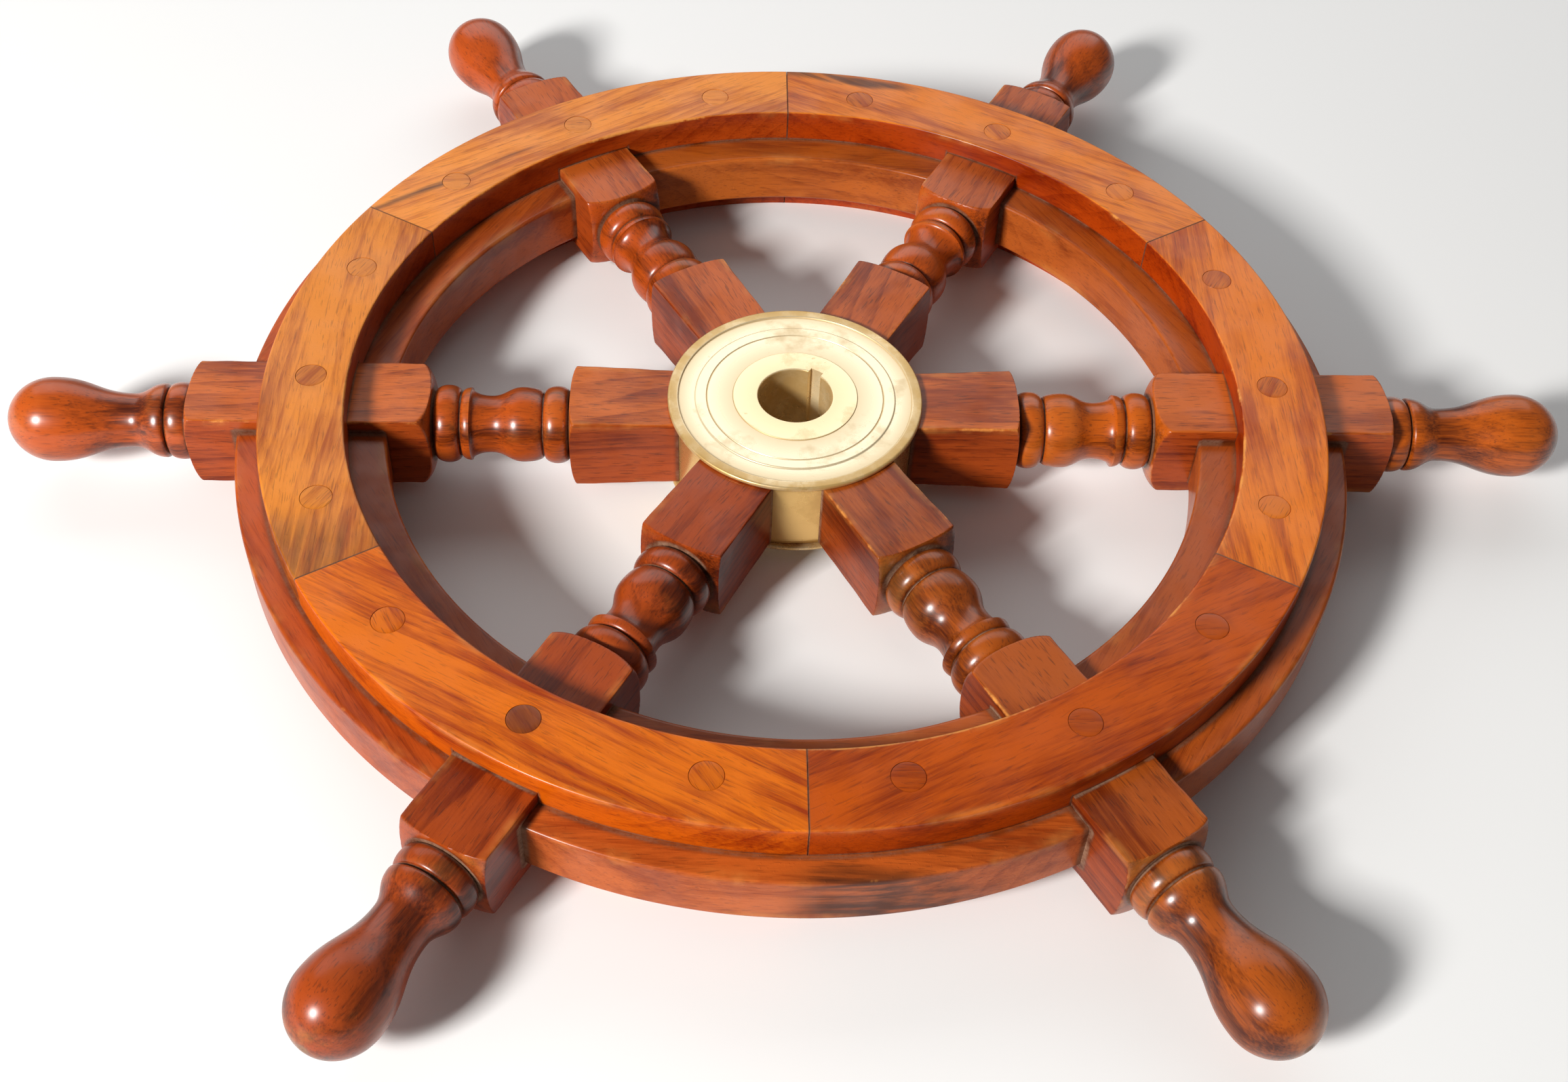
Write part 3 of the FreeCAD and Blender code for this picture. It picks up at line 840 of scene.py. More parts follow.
def brass_effect() -> Tree:
    """Polished brass: turning lines round the axis, thin scratches, tarnish blooms and spots.

    The turning lines are noise on the radius and the height. Scratches are the zero line of a
    drawn-out noise, and the tarnish is thresholded noise at two sizes.

    Returns:
        The group's tree.
    """
    effect = Effect(
        "brass",
        {"Vector": Kind.VECTOR, "Clean": Kind.COLOUR, "Tarnish": Kind.COLOUR, "Tarnish Amount": Kind.NUMBER,
         "Corner": Kind.NUMBER, "Turning": Kind.NUMBER},
        {"Color": Kind.COLOUR, "Height": Kind.NUMBER, "Dull": Kind.NUMBER})
    bench, place, amount = effect.bench, effect.given("Vector"), effect.given("Tarnish Amount")
    x, y, z = bench.parts(place)
    radius = bench.length(bench.combine(x, y, 0.0))
    lines = bench.noise(bench.combine(radius * 3300.0, 0.0, z * 2600.0), 1.0, 2.0, 0.6)
    lines = (lines - 0.5) * effect.given("Turning")
    bloom = bench.between(bench.noise(place, 42.0, 5.0, 0.66) + amount * 0.25, 0.52, 0.82)
    spot = bench.between(bench.noise(place, 260.0, 4.0, 0.7) + amount * 0.1, 0.66, 0.78)
    # the corner mask darkens too: tarnish in hollows, and on the plate a painted shade at its steps
    shade_and_dirt = bloom * 0.55 | spot * 0.5 | effect.given("Corner") * 0.85
    hair = abs(bench.noise(place, (70.0, 520.0, 300.0), 1.0, 0.5, 0.8) - 0.5)
    hair = bench.between(hair, 0.0, 0.006, 1.0, 0.0)
    scratch = hair * bench.between(bench.noise(place, 33.0, 2.0, 0.5), 0.52, 0.66)
    colour = bench.mix(shade_and_dirt, effect.given("Clean"), effect.given("Tarnish"))
    effect.give("Color", bench.mix(scratch * 0.25, colour, effect.given("Tarnish")))
    effect.give("Height", lines * 0.6 - scratch)
    effect.give("Dull", shade_and_dirt | scratch * 0.6)
    return effect.tree


@dataclass(frozen=True)
class Effects:
    """The shared effects, each built once."""

    timber: Tree
    wear: Tree
    # the corner effect: painted shade with some grime, and pale dust
    dust: Tree
    rim: Tree
    varnish: Tree
    brass: Tree

    @classmethod
    def build(cls, circle: ScrewCircle, count: int) -> "Effects":
        """Builds every group."""
        return cls(timber_effect(), wear_effect(), shade_and_dust_effect(), rim_effect(circle, count),
                   varnish_effect(), brass_effect())


# ---- finishes -------------------------------------------------------------------------------
@dataclass(frozen=True)
class Board:
    """One board's wood: its colours, and how its grain and heart streak lie, in metres."""

    pale: Colour
    deep: Colour
    heart: Colour = (0.045, 0.014, 0.006)
    seed: float = 0.0
    figure: float = 0.6
    heart_amount: float = 0.0
    heart_place: float = 0.0
    heart_slope: float = 0.0
    heart_width: float = 0.006
    heart_from: float = -1.0
    pores: float = 0.55

    def laid(self, bench: Bench, effects: Effects, grain: Signal) -> dict[str, Signal]:
        """The timber effect with this board's values.

        Args:
            bench: where it is placed.
            effects: the shared effects.
            grain: the point, with X along the grain.

        Returns:
            The effect's outputs.
        """
        return bench.group(effects.timber, {
            "Vector": grain, "Seed": self.seed, "Pale": self.pale, "Deep": self.deep, "Heart": self.heart,
            "Figure": self.figure, "Heart Amount": self.heart_amount, "Heart Place": self.heart_place,
            "Heart Slope": self.heart_slope, "Heart Width": self.heart_width, "Heart From": self.heart_from,
            "Pores": self.pores})


@dataclass(frozen=True)
class WoodFinish:
    """Varnished wood on one piece.

    The grain angle is in degrees. The wall colour multiplies the wood on sides that don't face
    the front or the back: a painted shade on those sides. A rim finish also has the joint lines and
    the plug rings. A relief is a bump's strength and its depth in metres.
    """

    name: str
    board: Board
    grain_angle: float
    turned: Optional[Board] = None
    rim: bool = False
    bare: Colour = (0.76, 0.31, 0.07)
    # painted shade on the sides, multiplied into the wood
    wall: Colour = (0.66, 0.50, 0.48)
    # painted shade with some grime in corners: its colour here and its amount below
    shade_grime_colour: Colour = (0.035, 0.009, 0.003)
    dust_colour: Colour = (0.31, 0.18, 0.115)
    wear: float = 0.36
    shade_grime: float = 0.72
    dust: float = 0.42
    clean_roughness: float = 0.46
    dull_roughness: float = 0.85
    specular: float = 0.03
    coat_roughness: float = 0.26
    coat_ior: float = 1.5
    thin_gloss: float = 0.55
    flat_gloss: float = 0.62
    dull_gloss: float = 0.05
    grain_relief: tuple[float, float] = (0.16, 0.0002)
    brush_relief: tuple[float, float] = (0.26, 0.0006)

    def material(self, effects: Effects) -> bpy.types.Material:
        """The finish as a material on Object coordinates, turned so that X runs with the grain.

        Args:
            effects: the shared effects.

        Returns:
            The material.
        """
        material, bench = blank_material(self.name)
        place, top, turned = bench.place(), bench.mask("top"), bench.mask("turned")
        grain = bench.add("ShaderNodeMapping", {"Vector": place,
                                                "Rotation": (0, 0, -math.radians(self.grain_angle))})
        wood = self.board.laid(bench, effects, grain)
        colour, corner = wood["Color"], bench.mask("corner")
        if self.turned:
            colour = bench.mix(turned, colour, self.turned.laid(bench, effects, grain)["Color"])
        # painted shade: where the top mask is low, the wood is multiplied by the wall colour
        colour = bench.mix(top, bench.mix(1.0, colour, self.wall, "MULTIPLY"), colour)
        if self.rim:
            colour, corner = self._rim_marks(bench, effects, colour, corner)
        worn = bench.group(effects.wear, {"Vector": place, "Color": colour, "Bare": self.bare,
                                          "Edge": bench.mask("edge"), "Amount": self.wear})
        # painted shade with some grime, and pale dust, laid in the corners
        shaded_dusty = bench.group(effects.dust, {
            "Vector": place, "Color": worn["Color"], "Corner": corner, "Stain": self.shade_grime_colour,
            "Dust": self.dust_colour, "Stain Amount": self.shade_grime, "Dust Amount": self.dust})
        coat = bench.group(effects.varnish, {"Vector": place})
        dull = shaded_dusty["Dull"] | worn["Worn"] * 0.7
        gloss = bench.between(coat["Gloss"], 0.0, 1.0, self.thin_gloss) \
            * bench.between(turned, 0.0, 1.0, self.flat_gloss)
        grain_bump = bench.bump(wood["Height"], *self.grain_relief)
        bench.surface({
            "Base Color": shaded_dusty["Color"],
            "Roughness": bench.between(dull, 0.0, 1.0, self.clean_roughness, self.dull_roughness),
            "Coat Weight": bench.between(dull, 0.1, 0.9, 1.0, self.dull_gloss) * gloss,
            "Coat Roughness": self.coat_roughness, "Coat IOR": self.coat_ior,
            "Specular IOR Level": self.specular,
            "Normal": bench.bump(coat["Height"], *self.brush_relief, grain_bump)})
        return material

    def _rim_marks(self, bench: Bench, effects: Effects, colour: Signal,
                   corner: Signal) -> tuple[Signal, Signal]:
        """Adds the butt joints, and a broken dark ring and a darker halo round each plug.

        Args:
            bench: the material's bench.
            effects: the shared effects.
            colour: the wood's colour.
            corner: how deep in a corner each point is.

        Returns:
            The colour and the corner with the marks.
        """
        place, top = bench.place(), bench.mask("top")
        marks = bench.group(effects.rim, {"Vector": place})
        halo = marks["Plug Halo"] * top * bench.between(bench.noise(place, 75.0, 4.0, 0.7), 0.42, 0.66)
        ring = marks["Plug Ring"] * top * bench.between(bench.noise(place, 90.0, 3.0), 0.38, 0.62, 0.15, 1.2)
        return (bench.mix(halo * 0.16, colour, self.board.heart),
                corner | (marks["Joint"] | ring * 0.22) * 0.75)


@dataclass(frozen=True)
class BrassFinish:
    """Turned and polished brass: its colours, how tarnished it is, and how deep its turning lines are."""

    name: str
    clean: Colour
    tarnish: Colour = (0.56, 0.34, 0.10)
    amount: float = 0.4
    turning: float = 1.0
    roughness: float = 0.24
    metal: float = 1.0
    relief: tuple[float, float] = (0.12, 0.00012)

    def material(self, effects: Effects) -> bpy.types.Material:
        """The finish as a material on Object coordinates.

        Args:
            effects: the shared effects.

        Returns:
            The material.
        """
        material, bench = blank_material(self.name)
        place, edge = bench.place(), bench.mask("edge")
        metal = bench.group(effects.brass, {
            "Vector": place, "Clean": self.clean, "Tarnish": self.tarnish, "Corner": bench.mask("corner"),
            "Tarnish Amount": edge * 0.7 + self.amount, "Turning": self.turning})
        ochre = edge * bench.between(bench.noise(place, 120.0, 4.0, 0.7), 0.3, 0.6, 0.5, 0.9)
        bench.surface({
            "Base Color": bench.mix(ochre, metal["Color"], self.tarnish),
            "Metallic": bench.between(metal["Dull"], 0.3, 1.0, self.metal, self.metal * 0.75),
            "Roughness": bench.between(metal["Dull"], 0.0, 1.0, self.roughness, self.roughness + 0.3),
            "Normal": bench.bump(metal["Height"], *self.relief)})
        return material


def dress(piece: bpy.types.Object, material: bpy.types.Material) -> None:
    """Gives a piece one material in place of any it had."""
    piece.data.materials.clear()
    piece.data.materials.append(material)


def stand_in(piece: bpy.types.Object, node: str, material: bpy.types.Material) -> None:
    """Dresses a piece, fixes it to the wheel and lets it stand for its CAD node.

    Args:
        piece: the finished piece.
        node: the CAD node that it replaces.
        material: its finish.
    """
    dress(piece, material)
    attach(piece, BODY)
    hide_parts(node)
    LOG.info("%s: %d faces", piece.name, len(piece.data.polygons))


# ---- spokes ---------------------------------------------------------------------------------
class Curve(Enum):
    """How a turned stretch goes from one radius to the next."""

    STRAIGHT = ((1 / 3, 1 / 3), (2 / 3, 2 / 3))
    SWELL = ((0.0, 0.5523), (0.4477, 1.0))
    SINK = ((0.5523, 0.0), (1.0, 0.4477))
    EASE = ((0.45, 0.0), (0.55, 1.0))


@dataclass(frozen=True)
class Stretch:
    """A turned stretch: its curve, length, the radius that it ends at, and its rows."""

    curve: Curve
    length: float
    radius: float
    rows: int = 8


def turned_outline(start: float, radius: float, stretches: Sequence[Stretch]) -> np.ndarray:
    """The stretches one after another, each a cubic Bezier curve in length and radius.

    Args:
        start: distance from the wheel's centre where the first begins.
        radius: its radius there.
        stretches: the stretches outwards.

    Returns:
        (distance, radius) points.
    """
    points = [np.array([[start, radius]])]
    for stretch in stretches:
        t = np.linspace(0, 1, stretch.rows + 1)[1:, None]
        origin = points[-1][-1]
        reach = np.array([stretch.length, stretch.radius - origin[1]])
        first, second = (np.array(pull) for pull in stretch.curve.value)
        shape = 3 * (1 - t) ** 2 * t * first + 3 * (1 - t) * t ** 2 * second + t ** 3
        points.append(origin + reach * shape)
    return np.concatenate(points)


@dataclass(frozen=True)
class SpokeTone:
    """One spoke's wood: its blocks' pale colour, its turned part's depth and hue, and its dust."""

    pale: Colour
    round_strength: float
    round_green: float
    dust: float = 0.45


SPOKE_TONES = (
    SpokeTone((0.54, 0.115, 0.014), 1.0, 0.19),
    SpokeTone((0.44, 0.085, 0.010), 0.90, 0.16),
    SpokeTone((0.48, 0.095, 0.012), 0.90, 0.15),
    SpokeTone((0.54, 0.118, 0.016), 0.92, 0.16),
    SpokeTone((0.33, 0.050, 0.005), 0.66, 0.15, dust=0.75),
    SpokeTone((0.39, 0.080, 0.009), 0.72, 0.20, dust=0.75))


@dataclass
class Spokes:
    """Six spokes, each turned with its handle from one piece of square stock."""

    places: Places
    effects: Effects
    hub_block: float = 39.8
    hub_half: float = 15.5
    neck: float = 13.4
    groove: float = 12.3
    corner: float = 24.48
    block_start: float = 140.3
    block_end: float = 233.4
    tenon: float = 10.0
    tenon_start: float = 28.4
    tenon_chamfer: float = 0.8
    glue: float = 0.1
    shoulder: float = 3.8
    inner_shoulder: float = 7.7
    outer_shoulder: float = 4.8
    bead: float = 15.15
    cope_reach: float = 25.0
    arris: float = 0.34
    arris_unevenness: float = 0.16
    arris_waves: tuple[float, float] = (7.3, 2.9)
    column_crowding: float = 0.19
    corner_blend: float = 0.22
    rubbed_reach: float = 1.0
    foot_shade_dust: float = 1.8
    facing_shade_dust: float = 0.9
    drum_shade_dust: float = 1.6
    rubbed_tip: float = 2.2
    columns: int = 120
    hub_rows_count: int = 46

    def outline(self) -> np.ndarray:
        """The turned outline from the hub block's end to the handle's tip.

        Returns:
            (distance, radius) points.
        """
        groove, neck, bead = self.groove, self.neck, self.bead
        block = self.block_end - self.block_start - self.inner_shoulder - self.outer_shoulder
        stretches = [
            # the bead by the hub block
            Stretch(Curve.STRAIGHT, 0.4, groove, 2),
            Stretch(Curve.SWELL, 4.9, bead, 9), Stretch(Curve.SINK, 4.9, groove, 9),
            Stretch(Curve.STRAIGHT, 0.4, groove, 2),
            # the vase
            Stretch(Curve.SWELL, 7.9, 14.65, 11), Stretch(Curve.EASE, 12.5, 11.05, 15),
            Stretch(Curve.SINK, 7.6, 14.2, 12), Stretch(Curve.SINK, 3.5, groove, 8),
            # the bead by the rim
            Stretch(Curve.STRAIGHT, 0.6, groove, 2),
            Stretch(Curve.SWELL, 4.9, bead, 9), Stretch(Curve.SINK, 4.9, groove, 9),
            Stretch(Curve.STRAIGHT, 0.6, neck, 2),
            # the square block in the rim
            Stretch(Curve.SWELL, self.inner_shoulder, self.corner, 16),
            Stretch(Curve.STRAIGHT, block, self.corner, 110),
            Stretch(Curve.SINK, self.outer_shoulder, neck, 14),
            # the handle: two beads, the grip and its round end
            Stretch(Curve.SWELL, 4.15, 15.0, 9), Stretch(Curve.SINK, 4.15, neck, 9),
            Stretch(Curve.STRAIGHT, 0.7, groove, 3),
            Stretch(Curve.SWELL, 1.6, 14.4, 6), Stretch(Curve.EASE, 12.4, 10.4, 14),
            Stretch(Curve.EASE, 30.6, 16.4, 24), Stretch(Curve.SINK, 17.6, 0.12, 26),
        ]
        return turned_outline(self.hub_end, neck, stretches)

    @property
    def seat(self) -> float:
        """The radius at which the hub block meets the drum."""
        return self.places.drum + self.glue

    @property
    def hub_end(self) -> float:
        """How far out the hub block ends."""
        return self.places.drum + self.hub_block

    def hub_rows(self) -> np.ndarray:
        """The rows from the drum to the hub block's end.

        Returns:
            (distance, turned radius) points.
        """
        level = np.linspace(self.seat, self.hub_end - self.shoulder, self.hub_rows_count)
        shoulder = turned_outline(self.hub_end - self.shoulder, self.corner,
                                  [Stretch(Curve.SINK, self.shoulder, self.neck, 12)])
        block = np.stack([level, np.full(self.hub_rows_count, self.corner)], -1)
        return np.concatenate([block, shoulder[1:-1]])

    def skin(self, seed: int) -> Skin:
        """One spoke along +X, from its tenon's end to the handle's tip.

        A row's section is the smaller of a circle, the turned radius, and a square, whose edge
        in direction a is half the stock over |cos a| or |sin a|. The smaller is taken softly,
        as -k log(sum of exp(-r/k)), which rounds the square's arrises. The columns crowd towards
        the arrises: a = f + crowding times sin 4f. Near the drum the rows bend to its round.

        Args:
            seed: which spoke, for its own small unevenness.

        Returns:
            The surface.
        """
        places, hub_end, seat = self.places, self.hub_end, self.seat
        rows = np.concatenate([self.hub_rows(), self.outline()])
        x, radius = rows[:, :1], rows[:, 1:]
        f = np.linspace(0, 2 * math.pi, self.columns, endpoint=False)[None, :]
        a = f + self.column_crowding * np.sin(4 * f)
        taper = np.clip((x - places.plate) / (hub_end - places.plate), 0, 1)
        half = np.where(x < hub_end, self.hub_half + (places.half_stock - self.hub_half) * taper,
                        places.half_stock)
        square = self._square(x, a, half, seed)
        low = np.minimum(square, radius)
        blend = self.corner_blend
        reach = low - blend * np.log(np.exp(-(square - low) / blend) + np.exp(-(radius - low) / blend))
        well_inside = radius < square - 2.0
        reach = np.minimum(np.where(well_inside, radius, reach), radius)
        y, z = reach * np.cos(a), reach * np.sin(a)
        cope = np.sqrt(np.maximum(seat ** 2 - y ** 2, 0)) - seat
        x_all = x + cope * np.clip(1 - (x - seat) / self.cope_reach, 0, 1)
        grid = np.concatenate([self._tenon(a), np.stack([x_all, y, z], -1)])
        masks = self._masks(rows, a, half, (radius > square).astype(float))
        poles = np.array([[self.tenon_start, 0, 0], [places.tip, 0, 0]])
        return skin_from_grid(grid, masks, poles)

    def _square(self, x: np.ndarray, a: np.ndarray, half: np.ndarray, seed: int) -> np.ndarray:
        """The reach of the square section, with arrises rounded by hand and so unevenly.

        The rounding is a steady amount plus a product of two sine waves along the spoke, which
        start elsewhere on each arris.

        Args:
            x: the distance of each row.
            a: the direction of each column.
            half: half the stock at each row.
            seed: which spoke.

        Returns:
            The reach, rows by columns.
        """
        phase = np.random.default_rng(40 + seed).uniform(0, 6.28, 8)
        quadrant = np.floor(a / (math.pi / 2))
        slow = x / self.arris_waves[0] + phase[0] + 1.7 * quadrant
        quick = x / self.arris_waves[1] + phase[1] + quadrant
        soft = self.arris + self.arris_unevenness * np.sin(slow) * np.sin(quick)
        flat_y = half / np.maximum(np.abs(np.cos(a)), 1e-6)
        flat_z = half / np.maximum(np.abs(np.sin(a)), 1e-6)
        return -soft * np.log(np.exp(-flat_y / soft) + np.exp(-flat_z / soft))

    def _tenon(self, a: np.ndarray) -> np.ndarray:
        """The tenon's four rows, the last of them lying on the drum's round.

        Args:
            a: the direction of each column.

        Returns:
            Points, four by columns by three.
        """
        seat, size, chamfer = self.seat, self.tenon, self.tenon_chamfer
        x = np.array([self.tenon_start, self.tenon_start + chamfer, seat - 0.5])[:, None]
        radius = np.array([size - chamfer, size, size])[:, None]
        rows = np.stack(np.broadcast_arrays(x, radius * np.cos(a), radius * np.sin(a)), -1)
        y = size * np.cos(a)
        root = np.stack([np.sqrt(seat ** 2 - y ** 2), y, size * np.sin(a)], -1)
        return np.concatenate([rows, root])

    def _masks(self, rows: np.ndarray, a: np.ndarray, half: np.ndarray,
               block: np.ndarray) -> dict[str, np.ndarray]:
        """Where the spoke is turned and rubbed, and where painted shade and dust lie.

        Painted shade and dust lie where the outline is lower than its own average over a few
        millimetres, and edges are rubbed where it is higher, on the arrises of the blocks, and on the beads.
        The blocks' sides are left out of the top mask, so they take a painted shade.

        Args:
            rows: (distance, turned radius) of each row.
            a: the direction of each column.
            half: half the stock at each row.
            block: 1 where the section is square.

        Returns:
            The masks, with rows for the tenon put first.
        """
        places = self.places
        x, radius = rows[:, 0], np.minimum(rows[:, 1], places.half_stock + 1.5)
        grid_x = np.arange(x.min() - 12, x.max() + 12, 0.1)
        order = np.argsort(x, kind="stable")
        line = np.interp(grid_x, x[order], radius[order])
        kernel = near(np.arange(-80, 81), 0, 17)
        average = np.convolve(line, kernel / kernel.sum(), mode="same")
        lower = np.interp(x, grid_x, average) - radius
        # painted shade and dust in the grooves
        corner = np.clip(lower / 1.5, 0, 1)[:, None] * np.ones_like(a)
        crest = np.clip(-lower / 1.3, 0, 1)[:, None] * (1 - block) * 0.35
        arris = near((np.abs(np.cos(a)) - np.abs(np.sin(a))) * half, 0, self.rubbed_reach) * block
        side = np.abs(np.cos(a)) > np.abs(np.sin(a))
        along = x[:, None]
        height = places.half_stock * np.abs(np.tan(np.arcsin(np.clip(np.sin(a), -0.999, 0.999))))
        in_rim = (along > places.felloe_inner) & (along < places.felloe_outer)
        foot = side * in_rim * near(height, places.felloe_face, self.foot_shade_dust)
        rise = side * (height < places.felloe_face + 1) * (
            near(along, places.felloe_outer, self.foot_shade_dust) + near(along, places.felloe_inner, 1.0))
        top = ~side * (near(along, places.facing_outer, self.facing_shade_dust)
                       + near(along, places.facing_inner, self.facing_shade_dust))
        drum = near(along, places.drum, self.drum_shade_dust)
        # painted shade and dust where the rim, the facings and the drum meet the spoke
        corner = np.maximum.reduce(np.broadcast_arrays(corner, foot * 0.9, rise * 0.9, top * 0.8, drum * 0.8))
        turned = (1 - block) * np.ones_like(a)
        tenon_rows = 4
        blank = np.zeros((tenon_rows, a.shape[1]))
        tip = near(along, places.tip - 0.5, self.rubbed_tip) * (1 - block) * 0.85
        edge = np.maximum.reduce(np.broadcast_arrays(arris, crest, tip))
        # the blocks' sides are left out of the top mask and take a painted shade
        upper = np.maximum(1.0 - side, 1 - block)
        return {name: np.concatenate([blank, mask * np.ones_like(a)]) for name, mask in
                (("corner", corner), ("edge", edge), ("turned", turned), ("top", upper))}

    def finish(self, index: int) -> WoodFinish:
        """The varnished wood of one spoke: flat grain on its blocks, and round grain where it is turned.

        Args:
            index: which spoke.

        Returns:
            Its finish.
        """
        tone, seed = SPOKE_TONES[index], 3.1 + 1.37 * index
        deep = tuple(part * share for part, share in zip(tone.pale, (0.40, 0.26, 0.25)))
        round_pale = (0.46 * tone.round_strength, 0.46 * tone.round_strength * tone.round_green, 0.005)
        round_deep = (0.060 * tone.round_strength, 0.0075 * tone.round_strength, 0.001)
        return WoodFinish(
            f"spoke_{index + 1}_varnish", Board(tone.pale, deep, seed=seed, figure=0.75, pores=0.85),
            index * self.places.step, dust=tone.dust,
            turned=Board(round_pale, round_deep, seed=seed, figure=0.3, pores=0.8))

    def build(self) -> None:
        """Makes and dresses the six spokes."""
        for index in range(self.places.count):
            skin = self.skin(index).turned(index * self.places.step)
            piece = mesh_of(f"spoke_{index + 1}_turned", skin)
            stand_in(piece, f"spoke_{index + 1}", self.finish(index).material(self.effects))


# ---- rim ------------------------------------------------------------------------------------
@dataclass(frozen=True)
class Section:
    """The rim's rectangular section with rounded corners, in radius and height."""

    inner: float
    outer: float
    low: float
    high: float
    low_round: float
    high_round: float

    def loop(self, low: float) -> tuple[np.ndarray, np.ndarray]:
        """The section's outline from the inner foot, up, out, down and back.

        Args:
            low: the height of its underside.

        Returns:
            The radius and the height of each column.
        """
        quarter = np.linspace(0, math.pi / 2, 6)
        foot, edge = self.low_round, self.high_round
        wall = crowded(low + foot, self.high - edge, 12)[1:-1]
        face = crowded(self.inner + edge, self.outer - edge, 30)[1:-1]
        under = np.linspace(self.outer - foot, self.inner + foot, 9)[1:-1]
        radius = np.concatenate([
            np.full_like(wall, self.inner), self.inner + edge - edge * np.cos(quarter), face,
            self.outer - edge + edge * np.sin(quarter), np.full_like(wall, self.outer),
            self.outer - foot + foot * np.cos(quarter), under, self.inner + foot - foot * np.sin(quarter)])
        height = np.concatenate([
            wall, self.high - edge + edge * np.sin(quarter), np.full_like(face, self.high),
            self.high - edge + edge * np.cos(quarter), wall[::-1],
            low + foot - foot * np.sin(quarter), np.full_like(under, low),
            low + foot - foot * np.cos(quarter)])
        return radius, height


def swept(radius: np.ndarray, height: np.ndarray, angle: np.ndarray, aside: np.ndarray) -> np.ndarray:
    """Rows that are straight lines in plan: a point at radius r lies at angle + asin(aside / r).

    Args:
        radius: rows by columns.
        height: rows by columns.
        angle: the direction in radians of each row.
        aside: how far each row lies beside the line in that direction.

    Returns:
        Points, rows by columns by three.
    """
    turn = angle[:, None] + np.arcsin(aside[:, None] / radius)
    return np.stack([radius * np.cos(turn), radius * np.sin(turn), height], -1)


FACING_BOARDS = (
    Board((0.76, 0.185, 0.009), (0.36, 0.050, 0.003), seed=1.3, figure=0.45),
    Board((0.76, 0.200, 0.013), (0.36, 0.056, 0.004), seed=7.9, figure=0.55,
          heart_amount=0.85, heart_place=-0.209, heart_slope=0.35, heart_width=0.004, heart_from=0.045),
    Board((0.80, 0.260, 0.034), (0.42, 0.088, 0.009), seed=4.4, figure=0.6,
          heart_amount=0.8, heart_place=-0.1834, heart_slope=0.095, heart_width=0.0022, heart_from=0.025),
    Board((0.70, 0.220, 0.022), (0.34, 0.068, 0.006), seed=11.2, figure=0.55,
          heart_amount=0.6, heart_place=-0.170, heart_width=0.032, heart_from=0.072),
    Board((0.68, 0.145, 0.003), (0.29, 0.030, 0.001), seed=15.1, figure=0.55),
    Board((0.48, 0.076, 0.002), (0.22, 0.024, 0.001), seed=19.6, figure=0.5))
FELLOE_PALES = (
    (0.48, 0.094, 0.009), (0.54, 0.115, 0.010), (0.48, 0.085, 0.009),
    (0.42, 0.070, 0.008), (0.52, 0.105, 0.014), (0.44, 0.085, 0.010))
STREAKED_FELLOE = 4


def felloe_board(index: int) -> Board:
    """A felloe's own board, redder than the facings.

    Args:
        index: which felloe. One of them has a heart streak on its outer wall.

    Returns:
        The board.
    """
    pale = FELLOE_PALES[index]
    deep = tuple(part * share for part, share in zip(pale, (0.52, 0.38, 0.36)))
    return Board(pale, deep, seed=23.3 + 1.9 * index, figure=0.5,
                 heart_amount=0.9 if index == STREAKED_FELLOE else 0.0,
                 heart_place=-0.2138, heart_slope=0.07, heart_width=0.010, heart_from=-0.004)


